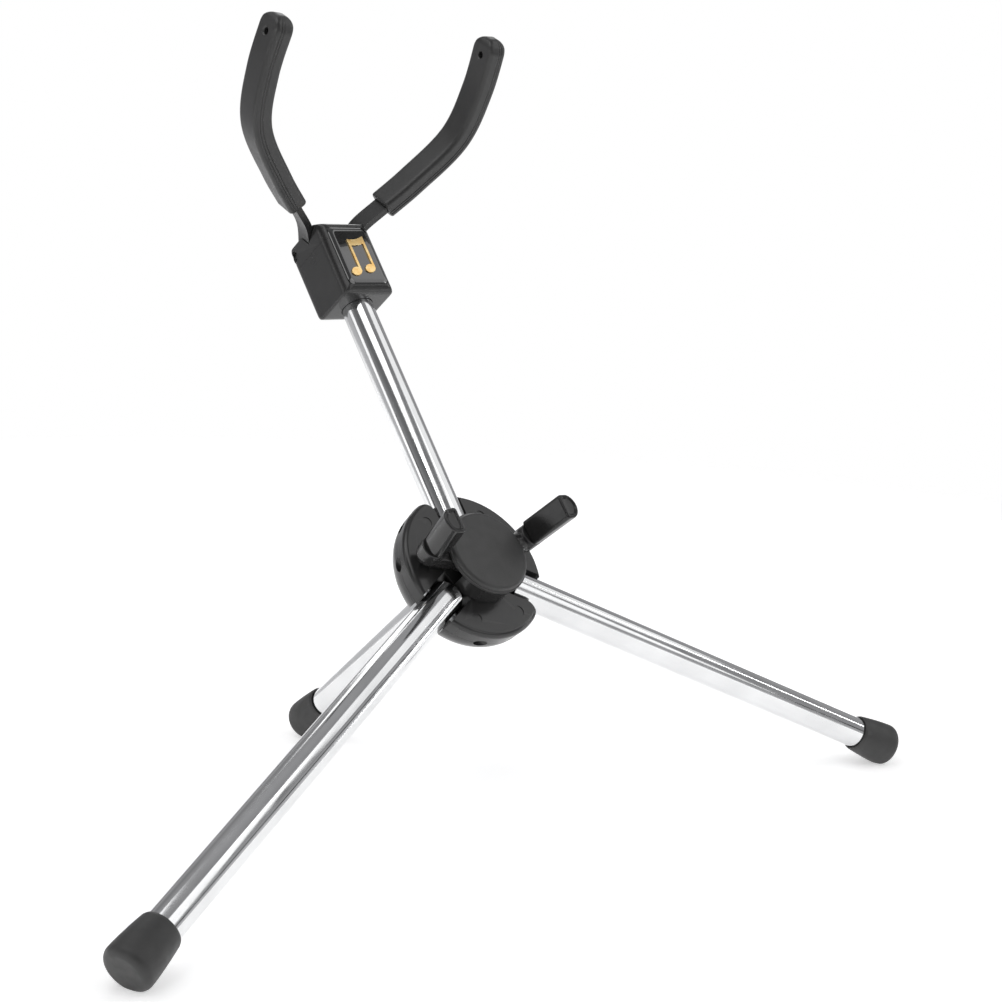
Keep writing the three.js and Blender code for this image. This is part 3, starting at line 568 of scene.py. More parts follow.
# ---------- hub ----------
def slot_outline(inner, mouth):
    """Limb slot along +Y; on the mouth's side (+1 left, -1 right) its wall turns round into the rim."""
    rim = HUB_R + 6
    offset = SLOT_HALF + SLOT_MOUTH_R
    height = math.sqrt((HUB_R - SLOT_MOUTH_R) ** 2 - offset ** 2)
    corner = arc((offset, height), SLOT_MOUTH_R, 180, math.degrees(math.atan2(height, offset)), 16)
    outward = tuple(c * rim / HUB_R for c in corner[-1])

    def wall(side):
        if mouth != side:
            return [(-side * SLOT_HALF, rim)]
        return [(-side * x, y) for x, y in (*corner, outward)]

    return [(SLOT_HALF, inner), (-SLOT_HALF, inner), *wall(1), *wall(-1)[::-1]]


LIMB_TURNS = (("neck", 0, 1), ("left_leg", 120, 0), ("right_leg", 240, -1))


def about_hub(angle):
    return Matrix.Rotation(math.radians(angle), 4, "Z")


def limb_slots(inner, low, high):
    cutters = [(prism(slot_outline(inner, mouth), low, high), turn) for _, turn, mouth in LIMB_TURNS]
    return [moved(cutter, about_hub(turn)) for cutter, turn in cutters]


def hinge_bores():
    half = HUB_R + 5
    bore = rod((-half, HINGE_R, HUB_SPLIT), (half, HINGE_R, HUB_SPLIT), HINGE_BORE_R)
    return [moved(bore, about_hub(turn)) for _, turn, _ in LIMB_TURNS]


def on_circle(radius, angle):
    return radius * math.cos(math.radians(angle)), radius * math.sin(math.radians(angle))


def screw_rod(angle, low, high, radius):
    x, y = on_circle(SCREW_CIRCLE, angle)
    return rod((x, y, low), (x, y, high), radius)


def hub_front():
    profile = [
        (0, HUB_SPLIT + SEAM / 2),
        (HUB_R - SHELL_DRAFT, HUB_SPLIT + SEAM / 2),
        *arc((HUB_R - HUB_EDGE_R, -HUB_EDGE_R), HUB_EDGE_R, 0, 90, 10),
        (0, 0),
    ]
    tools = [*limb_slots(SLOT_INNER_R, HUB_BACK, CAP_FRONT), *hinge_bores()]
    tools.append(rod((0, 0, HUB_BACK), (0, 0, CAP_FRONT), BOLT_HOLE_R))
    for angle in SCREW_ANGLES:
        tools.append(screw_rod(angle, HUB_BACK, SCREW_ENDS[1] + GAP, SCREW_HOLE_R))
        for turn in (-MARK_TURN, MARK_TURN):
            x, y = on_circle(MARK_CIRCLE, angle + turn)
            tools.append(rod((x, y, -MARK_DEPTH), (x, y, 1), MARK_R))
    body = combined(lathe(profile, 144), tools)
    bevelled(body, 0.8, front_weight)
    return finished(body, "hub_front", HUB, PLASTIC, "root", "hub_front_shell")


def front_weight(point):
    """Full rounding beside the limb slots, a little on the face's small marks and along the seam."""
    if point.z < HUB_SPLIT + 1:
        return 0.2
    on_face = math.hypot(point.x, point.y) < HUB_R - 2 and point.z > -1
    return 0.25 if on_face and not near_slot(point) else 1.0


def near_slot(point):
    """True beside a limb slot's walls."""
    spots = [about_hub(-turn) @ point for _, turn, _ in LIMB_TURNS]
    return any(p.y > SLOT_INNER_R - 1 and abs(p.x) < SLOT_HALF + 0.5 for p in spots)


def hub_rear():
    foot_r, top, turn = SOCKET_R + 2, HUB_SPLIT - SEAM / 2, SOCKET_ROUND
    out, deep = HUB_R - SHELL_DRAFT - foot_r, HUB_SPLIT - HUB_BACK
    profile = [
        (BOLT_HOLE_R, top),
        *[(foot_r + out * x, top + deep * y) for x, y in arc((0, 0), 1, 0, -90, 20)],
        *arc((SOCKET_R + turn, HUB_BACK - turn - 0.15), turn, 90, 180, 5),
        (SOCKET_R, SOCKET_END + turn),
        *arc((SOCKET_R - turn, SOCKET_END + turn), turn, 0, -90, 5),
        (TUBE_R + GAP, SOCKET_END),
        (TUBE_R + GAP, SOCKET_FLOOR),
        (BOLT_HOLE_R, SOCKET_FLOOR),
        (BOLT_HOLE_R, top),
    ]
    tools = [
        *limb_slots(SHELF_OUTER_R, SOCKET_END - 1, 0),
        *limb_slots(SLOT_INNER_R, SHELF_Z, 0),
        *hinge_bores(),
    ]
    for angle in SCREW_ANGLES:
        tools.append(screw_rod(angle, SOCKET_END, 0, SCREW_HOLE_R))
        tools.append(screw_rod(angle, SOCKET_END, SCREW_SEAT, SCREW_SEAT_R))
    body = combined(lathe(profile, 144), tools)
    bevelled(body, 0.5)
    return finished(body, "hub_rear", HUB, PLASTIC, "root", "hub_rear_shell")


def pivot_rod(side, low, high, radius):
    """Cylinder about a peg's swivel axis; side is +1 for the right one."""
    x, y = PEG_PIVOT
    return rod((side * x, y, low), (side * x, y, high), radius)


def column():
    inner, floor = COLUMN_R - COLUMN_WALL, GAP + COLUMN_FLOOR
    profile = [
        (BOLT_HOLE_R, GAP),
        (COLUMN_R, GAP),
        (COLUMN_R, COLUMN_TOP),
        (inner, COLUMN_TOP),
        (inner, floor),
        (BOLT_HOLE_R, floor),
        (BOLT_HOLE_R, GAP),
    ]
    right = box_between((WINDOW_X[0], WINDOW_Y[0], floor), (WINDOW_X[1], WINDOW_Y[1], CAP_FRONT))
    body = combined(lathe(profile, 128), [right, moved(right, MIRROR)])
    combined(body, [pivot_rod(side, GAP, COLUMN_TOP, PEG_BOSS_R) for side in (-1, 1)], "UNION")
    combined(body, [pivot_rod(side, 0, CAP_FRONT, PEG_SCREW_HOLE_R) for side in (-1, 1)])
    bevelled(body, 0.35)
    return finished(body, "column", HUB, PLASTIC, "root", "peg_column")


def cap():
    """Round cap with a fine step near its front edge."""
    skirt, lip, small = COLUMN_TOP + GAP, CAP_LIP, 0.25
    step, face_r = CAP_FRONT - 2.1, CAP_R - CAP_STEP
    profile = [
        (0, skirt),
        *arc((CAP_R - lip, skirt + lip), lip, -90, 0, 4),
        *arc((CAP_R - lip, step - lip), lip, 0, 90, 4),
        *arc((face_r + small, step + small), small, 270, 180, 3),
        *arc((face_r - CAP_ROUND, CAP_FRONT - CAP_ROUND), CAP_ROUND, 0, 90, 8),
        (0, CAP_FRONT),
    ]
    body = solid(lathe(profile, 160))
    return finished(body, "cap", HUB, SATIN, "root", "front_cap")


# ---------- pins, screws and plugs ----------
def turned_pin(name, node, body, material, chamfer=0.3):
    """A ground pin with chamfered ends, where the CAD rod is."""
    start, end = long_axis(node)
    axes = axes_at(start, end - start, HUB_NORMAL)
    _, high = reach(node, axes)
    r, length = max(high.x, high.z), high.y
    flank = [(r, chamfer), (r, length - chamfer)]
    profile = [(0, 0), (r - chamfer, 0), *flank, (r - chamfer, length), (0, length)]
    pin = solid(moved(lathe(profile, 48), LATHE_Y))
    return finished(pin, name, axes, material, body, node)


def pan_screw(name, node, head_at, tip_at, head_r, shank_r, axes, body):
    """Pan-head screw with rings of thread and a cross recess; its head is at the first point."""
    head, tip = Vector(head_at), Vector(tip_at)
    length, crown, under, pitch, depth = (tip - head).length, 0.9, 2.0, 0.9, 0.25
    profile = [(0, 0), *arc((head_r - crown, crown), crown, 270, 360, 6), (head_r, under), (shank_r, under)]
    for i in range(int((length - under) / pitch) - 1):
        base = under + GAP + pitch * i
        profile += [(shank_r, base), (shank_r - depth, base + pitch / 2)]
    profile += [(shank_r - depth, length - pitch), (0, length)]
    wide, narrow, deep = 2.0, 0.35, 1.1
    tools = [box_between((-x, -y, -1), (x, y, deep)) for x, y in ((wide, narrow), (narrow, wide))]
    screw = combined(lathe(profile, 48), tools)
    place = Matrix.Translation(head) @ (tip - head).to_track_quat("Z", "Y").to_matrix().to_4x4()
    screw.data.transform(place)
    return finished(screw, name, axes, STEEL, body, node, 30)


def small_metal():
    for limb, _, _ in LIMB_TURNS:
        turned_pin(f"{limb}_pin", f"{limb}_hinge_pin", "root", STEEL)
    turned_pin("fork_pin", "fork_pivot_pin", "neck", PAINT)
    for i, angle in enumerate(SCREW_ANGLES):
        x, y = on_circle(SCREW_CIRCLE, angle)
        name, ends = f"shell_screw_{i + 1}", [(x, y, end) for end in SCREW_ENDS]
        pan_screw(name, f"hub_{name}", *ends, 3.4, 1.8, HUB, "root")
    ends = [(0, NECK_SCREW_AT, end) for end in (BLOCK_REAR + 0.4, NECK_SCREW_TIP)]
    pan_screw("block_screw", "head_block_screw", *ends, 3.2, 1.5, NECK, "neck")


def carried_over(node, material, width=0.4):
    """A CAD node kept as it is, with its edges softened and a better finish."""
    obj = frame["nodes"][node]
    obj.data.materials.clear()
    obj.data.materials.append(material)
    add_modifier(obj, "WELD", merge_threshold=1e-6)
    add_modifier(
        obj, "BEVEL", width=width * MM, segments=3, limit_method="ANGLE", angle_limit=math.radians(40),
        use_clamp_overlap=True,
    )
    return obj


# ---------- tubes and feet ----------
def pin_in(axes, name):
    return axes.inverted() @ Vector(joint(name)["pos_m"]) / MM


def tube(name, node, axes, body, pin=None, screw_at=None):
    low, high = reach(node, axes)
    profile = rounded_rect((TUBE_R - TUBE_WALL, low.y), (TUBE_R, high.y), (TUBE_LIP,) * 4, 3)
    profile.append(profile[0])
    wide = 2 * TUBE_R
    tools = []
    if pin is not None:
        tools.append(rod((-wide, pin.y, pin.z), (wide, pin.y, pin.z), HINGE_BORE_R))
    if screw_at is not None:
        tools.append(rod((0, screw_at, -wide), (0, screw_at, 0), NECK_SCREW_HOLE_R))
    piece = combined(moved(lathe(profile, 128), LATHE_Y), tools)
    return finished(piece, name, axes, CHROME, body, node)


def foot(name, node, axes, body):
    """Flared rubber foot with a beaded mouth, its sole rubbed down flat where it meets the floor."""
    end = reach(node, axes)[1].y
    mouth = end - FOOT_LENGTH
    bore, (neck_r, neck) = TUBE_R + FOOT_FIT, FOOT_NECK
    belly = FOOT_LENGTH - FOOT_ROUND - neck - 0.4
    flare = [
        (neck_r + (FOOT_END_R - neck_r) * (1 - (1 - t) ** 1.5), mouth + neck + belly * t)
        for t in np.linspace(0, 1, 12)
    ]
    profile = [
        (0, end - FOOT_FLOOR),
        (bore, end - FOOT_FLOOR),
        (bore, mouth + 0.5),
        *arc((FOOT_MOUTH_R - FOOT_BEAD, mouth + FOOT_BEAD), FOOT_BEAD, 200, 340, 5),
        *flare,
        *arc((FOOT_END_R - FOOT_ROUND, end - FOOT_ROUND), FOOT_ROUND, 0, 90, 12),
        (0, end),
    ]
    ground = box_between((-900, -900, -100), (900, 900, 0.0))
    to_local = (axes @ Matrix.Scale(MM, 4)).inverted() @ Matrix.Scale(MM, 4)
    piece = combined(moved(lathe(profile, 96), LATHE_Y), [moved(ground, to_local)])
    bevelled(piece, 0.5, angle=12)
    return finished(piece, name, axes, RUBBER, body, node, 50)


def limbs():
    for side, axes in LEGS.items():
        body = f"{side}_leg"
        tube(f"{side}_tube", f"{side}_leg_tube", axes, body, pin_in(axes, f"{side}_leg_fold"))
        foot(f"{side}_rubber", f"{side}_foot", axes, body)
        carried_over(f"{side}_leg_plug", PLASTIC)
    tube("rear_tube", "rear_leg_tube", REAR, "root")
    foot("rear_rubber", "rear_foot", REAR, "root")
    carried_over("rear_leg_plug", PLASTIC)
    tube("neck_chrome", "neck_tube", NECK, "neck", pin_in(NECK, "neck_fold"), NECK_SCREW_AT)
    carried_over("neck_plug", PLASTIC)


# ---------- pegs ----------
def leaning(point):
    """A point of the peg's post section carried to where the post is, for the right peg."""
    x, y, z = point
    return (PEG_ELBOW[0] + x + (z - PEG_ELBOW[2]) * math.tan(PEG_LEAN), PEG_ELBOW[1] + y, z)


def peg_section(steps=24):
    """D-shaped outline: flat towards the hub's axis, crowned outwards."""
    half, corner = PEG_SLEEVE_DEPTH / 2, PEG_SLEEVE_CORNER
    crown = [(-1 + x * (half + 1), y * PEG_SLEEVE_HALF) for x, y in arc((0, 0), 1, -75, 75, steps)]
    upper = arc((-half + corner, PEG_SLEEVE_HALF - corner), corner, 90, 180, 6)
    lower = arc((-half + corner, -PEG_SLEEVE_HALF + corner), corner, 180, 270, 6)
    return [*crown, *upper, *lower]


def inset_ring(outline, half, inset, height, middle=0):
    """An outline drawn in all round; half is its half width and half length."""
    across, up = ((size - inset) / size for size in half)
    return [(x * across, middle + (y - middle) * up, height) for x, y in outline]


def peg_sleeve(side, flip):
    """Soft sleeve with a raised rim round its dished end."""
    low, high = PEG_SLEEVE
    outline = peg_section()
    rim = 1.0
    turns = np.linspace(0, math.pi / 2, 7)
    dish = ((1.4, 0.08), (1.75, 0.5), (2.4, 0.75), (3.6, 0.8))      # inset and depth of the end's dish
    steps = [(rim * (1 - math.sin(a)), low + rim * (1 - math.cos(a))) for a in turns]
    steps += [(rim * (1 - math.cos(a)), high - rim * (1 - math.sin(a))) for a in turns]
    steps += [(inset, high - drop) for inset, drop in dish]
    rings = [inset_ring(outline, (PEG_SLEEVE_DEPTH / 2, PEG_SLEEVE_HALF), *step) for step in steps]
    bore = prism(arc((0, 0), PEG_POST_R + GAP, 0, 360, 40)[:-1], 0, high - PEG_SLEEVE_ROOF + GAP)
    piece = combined(moved(skin(rings), leaning), [moved(bore, leaning)])
    piece.data.transform(flip)
    return finished(piece, f"{side}_peg_cover", HUB, COVER, f"{side}_peg", f"{side}_peg_sleeve")


def peg_arm(side, flip):
    """Moulded arm: an eye on its screw boss, a bar, a swelling elbow and a post, all blended together."""
    px, py = PEG_PIVOT
    ex, ey, ez = PEG_ELBOW
    low, high = GAP + COLUMN_FLOOR + GAP, COLUMN_TOP - GAP
    run_x, run_y = ex - px, ey - py
    bar_end = (math.hypot(run_x, run_y) - 1, PEG_BAR_HALF)
    bar = prism(rounded_rect((0, -PEG_BAR_HALF), bar_end, (1,) * 4), low, high)
    turn = Matrix.Translation((px, py, 0)) @ Matrix.Rotation(math.atan2(run_y, run_x), 4, "Z")
    swell = 0.5                          # share of the bar's length where it starts to swell
    tilts = np.linspace(-math.pi / 2, math.pi / 2, 33)
    ball = lathe([(PEG_ARM_R * math.cos(a), PEG_ARM_R * math.sin(a)) for a in tilts], 64)
    circle = arc((0, 0), 1, 0, 360, 64)[:-1]
    shoulder, post = ([(x * r, y * r) for x, y in circle] for r in (PEG_ARM_R, PEG_POST_R))
    fin = box_between((-11, -1.1, ez - 2), (-3.5, 1.1, PEG_SLEEVE[0] - 1.4))     # stiffening rib
    neck = (px + run_x * swell, py + run_y * swell, (low + high) / 2)
    piece = combined(pivot_rod(1, low, high, PEG_EYE_R), [
        moved(bar, turn),
        rod(neck, PEG_ELBOW, PEG_NECK_R, 64, PEG_ARM_R),
        moved(ball, Matrix.Translation(PEG_ELBOW)),
        moved(prism(shoulder, ez, PEG_SLEEVE[0] - GAP), leaning),
        moved(prism(post, ez, PEG_SLEEVE[1] - PEG_SLEEVE_ROOF), leaning),
        moved(fin, leaning),
    ], "UNION")
    combined(piece, [pivot_rod(1, 0, CAP_FRONT, PEG_BOSS_R + GAP)])
    softened(piece, 0.3, 6)
    piece.data.transform(flip)
    return finished(piece, f"{side}_peg_elbow", HUB, PLASTIC, f"{side}_peg", f"{side}_peg_arm", 60)


def pegs():
    for side, flip in SIDES:
        peg_sleeve(side, flip)
        peg_arm(side, flip)
        carried_over(f"{side}_peg_screw", STEEL, 0.1)
    carried_over("hub_centre_bolt", STEEL)


# ---------- fork ----------
def smooth_line(points, steps=40):
    """Evenly dense points of a centripetal Catmull-Rom curve, with the distance along it at each."""
    p = [np.array(q, float) for q in points]
    p = [2 * p[0] - p[1], *p, 2 * p[-1] - p[-2]]
    out = []
    for i in range(1, len(p) - 2):
        a, b, c, d = p[i - 1:i + 3]
        t0, t1, t2 = (math.sqrt(np.linalg.norm(v - u)) for u, v in ((a, b), (b, c), (c, d)))
        start = ((b - a) / t0 - (c - a) / (t0 + t1) + (c - b) / t1) * t1
        end = ((c - b) / t1 - (d - b) / (t1 + t2) + (d - c) / t2) * t1
        square = 3 * (c - b) - 2 * start - end
        cube = 2 * (b - c) + start + end
        for t in np.arange(steps) / steps:
            out.append(b + start * t + square * t ** 2 + cube * t ** 3)
    out.append(p[-2])
    out = np.array(out)
    length = np.concatenate([[0], np.cumsum(np.linalg.norm(np.diff(out, axis=0), axis=1))])
    return out, length


ARM_POINTS, ARM_LENGTHS = smooth_line([(x, v) for v, x in ARM_LINE])


def arm_at(distance):
    """Point (x, v) of the right arm's centre line and its direction there."""
    step = 0.4
    at, ahead, behind = (
        [np.interp(d, ARM_LENGTHS, ARM_POINTS[:, k]) for k in (0, 1)]
        for d in (distance, distance + step, distance - step)
    )
    return Vector(at), Vector((ahead[0] - behind[0], ahead[1] - behind[1])).normalized()


def length_at(height):
    return float(np.interp(height, ARM_POINTS[:, 1], ARM_LENGTHS))


def arm_ring(distance, outline):
    """A section outline (towards the middle, forwards) set across the arm's centre line."""
    at, run = arm_at(distance)
    inward = Vector((-run.y, run.x))
    return [(at.x + inward.x * a, at.y + inward.y * a, b) for a, b in outline]


def ribbon(start, end, thick, half, steps):
    outline = rectangle((-thick / 2, -half), (thick / 2, half))
    return skin([arm_ring(d, outline) for d in np.linspace(start, end, steps)])


def fork_pin():
    """The fork's pin, in the fork's axes."""
    pin = FORK.inverted() @ Vector(joint("right_arm_fold")["pos_m"]) / MM
    return pin.y, pin.z


def strip_root(grow):
    v, w = fork_pin()
    half = STRIP_HALF + grow
    eye = arc((v, w), STRIP_EYE_R + grow, 75, 285, 24)
    outline = [(0, -half), (0, half), (-STRIP_SHOULDER, half), *eye, (-STRIP_SHOULDER, -half)]
    thick = STRIP_THICK / 2 + grow
    return moved(prism(outline, STRIP_EYE_X - thick, STRIP_EYE_X + thick), ALONG_X)


def tip_hole(radius, flare=0.0):
    """Cutter through the arm near its tip, wider at both mouths by the flare."""
    at, run = arm_at(length_at(ARM_TIP - SLEEVE_HOLE_BACK))
    across = Vector((-run.y, run.x, 0))
    face, far = SLEEVE_THICK / 2, SLEEVE_THICK
    upper = [(radius, face - flare), (radius + flare, face), (radius + flare, far), (0, far)]
    profile = [(r, -h) for r, h in upper[::-1]] + upper
    turn = across.to_track_quat("Z", "Y").to_matrix().to_4x4()
    return moved(lathe(profile, 40), Matrix.Translation((at.x, at.y, 0)) @ turn)


def fork_strip(side, flip):
    v, w = fork_pin()
    bend = ribbon(0.0, length_at(ARM_TIP - STRIP_SHORT), STRIP_THICK, STRIP_HALF, 90)
    piece = combined(strip_root(0), [bend], "UNION")
    bore = rod((0, v, w), (2 * BLOCK_HALF, v, w), FORK_BORE_R)
    combined(piece, [bore, tip_hole(SLEEVE_HOLE_R + 2 * GAP)])
    bevelled(piece, 0.6, angle=35)
    piece.data.transform(flip)
    return finished(piece, f"{side}_strip", FORK, PAINT, f"{side}_arm", f"{side}_fork_strip")


def sleeve_outline():
    """Rounded section with two fine grooves along each narrow face."""
    half, corner = SLEEVE_THICK / 2, SLEEVE_CORNER
    groove, depth = 0.35, 0.28
    cut = ((groove, 0), (0, depth), (-groove, 0))
    lines = [(at + step, drop) for at in (2.0, 0.6) for step, drop in cut]
    top = sorted(((-a, SLEEVE_HALF - d) for a, d in lines), key=lambda p: -p[0])
    bottom = [(a, -b) for a, b in sorted(top)]
    x, y = half - corner, SLEEVE_HALF - corner
    inner = [(half, b) for b in np.linspace(-y, y, 8)[1:-1]]
    outer = [(-half, -b) for _, b in inner]
    return [
        *arc((x, y), corner, 0, 90, 8), *top,
        *arc((-x, y), corner, 90, 180, 8), *outer,
        *arc((-x, -y), corner, 180, 270, 8), *bottom,
        *arc((x, -y), corner, 270, 360, 8), *inner,
    ]


def round_end(left, radius):
    """How far a rounded end has drawn in, at a given distance from its very end."""
    return radius - math.sqrt(max(0, radius ** 2 - max(0, radius - left) ** 2))


def fork_sleeve(side, flip):
    """Soft sleeve over the strip: it widens upwards, and its tip is round both ways."""
    start, end, mouth = length_at(ARM_SLEEVE_START), ARM_LENGTHS[-1], 1.1
    outline = sleeve_outline()
    along = [start + mouth * (1 - math.cos(a)) for a in np.linspace(0, math.pi / 2, 5)]
    along += list(np.linspace(start + mouth, end - SLEEVE_TIP_R, 80)[1:-1])
    along += [end - SLEEVE_TIP_R * (1 - math.sin(a)) for a in np.linspace(0, math.pi / 2, 22)[:-1]]
    rings = []
    for d in along:
        half = SLEEVE_HALF + (SLEEVE_TIP_HALF - SLEEVE_HALF) * (d - start) / (end - start)
        lip = round_end(d - start, mouth)
        wide = (half - lip - round_end(end - d, SLEEVE_TIP_R)) / SLEEVE_HALF
        thick = 1 - (lip + round_end(end - d, SLEEVE_SIDE_R)) / (SLEEVE_THICK / 2)
        rings.append(arm_ring(d, [(a * thick, b * wide) for a, b in outline]))
    pocket_end = length_at(ARM_TIP - STRIP_SHORT + 2 * GAP)
    pocket = ribbon(start - POCKET_OVERSHOOT, pocket_end, STRIP_THICK + 2 * GAP, STRIP_HALF + GAP, 90)
    piece = combined(skin(rings), [pocket, tip_hole(SLEEVE_HOLE_R, 0.5)])
    piece.data.transform(flip)
    return finished(piece, f"{side}_sleeve", FORK, SLEEVE, f"{side}_arm", f"{side}_fork_sleeve", 38)


def fork():
    for side, flip in SIDES:
        fork_strip(side, flip)
        fork_sleeve(side, flip)


# ---------- head block ----------
def block_side():
    """Side outline of the block, (along the neck, forwards)."""
    y, z = FORK_PIN
    rear, front, lobe = 4.2, 4.4, 4.6
    return [
        *arc((BLOCK_BOTTOM + rear, BLOCK_REAR + rear), rear, 270, 180, 10),
        *arc((BLOCK_BOTTOM + front, BLOCK_HALF - front), front, 180, 90, 10),
        *arc((BLOCK_TOP - 5, BLOCK_HALF - 3), 3, 90, 30, 8),
        (BLOCK_TOP, BLOCK_HALF - 6),
        *arc((y + 0.5, z + 1.3), lobe, 0, -90, 14),
    ]


def block_part(low, high):
    """The soft-edged block between two heights along the neck."""
    rear, front = BLOCK_REAR_R, BLOCK_FRONT_R
    corners = ((-BLOCK_HALF, BLOCK_REAR - 0.5), (BLOCK_HALF, BLOCK_HALF))
    plan = rounded_rect(*corners, (rear, rear, front, front), 12)
    side = moved(prism(block_side(), -BLOCK_HALF - 1, BLOCK_HALF + 1), ALONG_X)
    whole = combined(moved(prism(plan, BLOCK_BOTTOM, BLOCK_TOP), ALONG_Y), [side], "INTERSECT")
    softened(whole, 0.45, BLOCK_SOFTENING)
    far = 2 * BLOCK_HALF
    return combined(whole, [box_between((-far, low, -far), (far, high, far))], "INTERSECT")


def badge_outline(grow, steps=8):
    (low, high), half = BADGE_ENDS, BADGE_HALF + grow
    return rounded_rect((-half, low - grow), (half, high + grow), (BADGE_CORNER,) * 4, steps)


def badge_pocket():
    return prism(badge_outline(BADGE_FIT), BLOCK_HALF - BADGE_DEPTH, BLOCK_HALF + 5)


def lower_block():
    body = block_part(BLOCK_BOTTOM - 1, BLOCK_SEAM - SEAM / 2)
    back = (0, NECK_SCREW_AT, BLOCK_REAR - 5)
    combined(body, [
        rod((0, BLOCK_BOTTOM - 10, 0), (0, NECK_TUBE_END + GAP, 0), TUBE_R + GAP, 96),
        badge_pocket(),
        rod(back, (0, NECK_SCREW_AT, 0), NECK_SCREW_HOLE_R),
        rod(back, (0, NECK_SCREW_AT, BLOCK_REAR + COUNTERBORE), NECK_SCREW_SEAT_R),
    ])
    bevelled(body, 0.3, segments=2, angle=45)
    return finished(body, "block_lower", NECK, PLASTIC, "neck", "head_block_lower")


def fork_sweep():
    """Everything the right strip's root passes through as it folds back, in the fork's axes."""
    v, w = fork_pin()
    clear = STRIP_CLEAR
    bend = ribbon(0.0, length_at(SWEEP_REACH), STRIP_THICK + 2 * clear, STRIP_HALF + clear, 12)
    corner = Vector((-v, STRIP_HALF + clear - w))
    start = math.degrees(math.atan2(corner.y, corner.x))
    thick = STRIP_THICK / 2 + clear
    fan = [(v, w), *arc((v, w), corner.length, start, start - 90, 24)]
    tools = [moved(prism(fan, STRIP_EYE_X - thick, STRIP_EYE_X + thick), ALONG_X)]
    for angle in (0, 8, 16, 24, 32, 42, 54, 70, 90):
        fold = Matrix.Rotation(math.radians(-angle), 4, "X")
        about = Matrix.Translation((0, v, w)) @ fold @ Matrix.Translation((0, -v, -w))
        tools += [moved(strip_root(clear), about), moved(bend, about)]
    return tools


def upper_block():
    body = block_part(BLOCK_SEAM + SEAM / 2, BLOCK_TOP + 1)
    to_neck = Matrix.Translation((0, FORK_BASE, 0)) @ Matrix.Rotation(FORK_LEAN, 4, "X")
    tools = [moved(tool, flip @ to_neck) for tool in fork_sweep() for _, flip in SIDES]
    y, z = FORK_PIN
    dimple = rod((BLOCK_HALF - 1.2, y, z), (BLOCK_HALF + 1, y, z), FORK_DIMPLE_R)
    tools += [badge_pocket(), rod((-20, y, z), (20, y, z), FORK_BORE_R), dimple, moved(dimple, MIRROR)]
    combined(body, tools)
    bevelled(body, 0.3, segments=2, angle=45)
    return finished(body, "block_upper", NECK, PLASTIC, "neck", "head_block_upper")


def badge():
    """Glossy resin badge: flat in the middle, falling away over a soft border to a crisp edge."""
    base, edge, border = BLOCK_HALF - BADGE_DEPTH + GAP, BLOCK_HALF - 0.15, 3.2
    rise = BLOCK_HALF + BADGE_PROUD - edge
    steps = [(0.3, base), (0.0, base + 0.3)]
    steps += [(border * t, edge + rise * (1 - (1 - t) ** 2.4)) for t in np.linspace(0, 1, 14)]
    middle = sum(BADGE_ENDS) / 2
    half = (BADGE_HALF, middle - BADGE_ENDS[0])
    piece = solid(skin([inset_ring(badge_outline(0, 12), half, *step, middle) for step in steps]))
    return finished(piece, "badge", NECK, GLOSS, "neck", "badge_plate", 50)


def emblem():
    """A plain pair of joined quavers, pillowed and bright."""
    low, high = BLOCK_HALF + BADGE_PROUD - 0.2, BLOCK_HALF + BADGE_PROUD + 2 * GAP
    oval = [(NOTE_HEAD_R * a, NOTE_HEAD_R * 0.72 * b) for a, b in arc((0, 0), 1, 0, 360, 48)[:-1]]
    tilt = Matrix.Rotation(math.radians(20), 4, "Z")
    heads = [moved(prism(oval, low, high), Matrix.Translation((x, y, 0)) @ tilt) for x, y in NOTE_HEADS]
    half = NOTE_STEM / 2
    stem_x = [x + NOTE_HEAD_R - half for x, _ in NOTE_HEADS]
    tops = (NOTE_TOP - 1, NOTE_TOP + NOTE_RISE - 1)
    stems = [
        box_between((x - half, y, low), (x + half, top, high))
        for x, (_, y), top in zip(stem_x, NOTE_HEADS, tops)
    ]
    left, right = stem_x[0] - half, stem_x[1] + half
    upper = [
        (left + (right - left) * t, NOTE_TOP + NOTE_RISE * t - NOTE_SAG * math.sin(math.pi * t))
        for t in np.linspace(0, 1, 13)
    ]
    lower = [(x, y - NOTE_BEAM) for x, y in upper[::-1]]
    piece = combined(prism(upper + lower, low, high), [*stems, *heads], "UNION")
    bevelled(piece, 0.32, segments=4, angle=35)
    return finished(piece, "emblem", NECK, GOLD, "neck", "badge_emblem")


# ---------- build ----------
hub_front()
hub_rear()
column()
cap()
small_metal()
limbs()
pegs()
fork()
lower_block()
upper_block()
badge()
emblem()


# ---------- stage ----------
CAMERA_AZIMUTH = -43.02
CAMERA_ELEVATION = 10.78
CAMERA_ROLL = math.radians(3.17)
CAMERA_LENS = 65.2
CAMERA_OFFSET = Vector((-564.95, -620.89, 190.98)) * MM   # from the centre of the hub's face
AIM = Vector((0, 0, 0.17))


def toward_view(azimuth, elevation):
    """Unit vector from the stand towards a viewpoint; angles in degrees, 0 in front and + to the right."""
    a, e = math.radians(azimuth), math.radians(elevation)
    return Vector((math.sin(a) * math.cos(e), -math.cos(a) * math.cos(e), math.sin(e)))


VIEW_BACK = toward_view(CAMERA_AZIMUTH, CAMERA_ELEVATION)


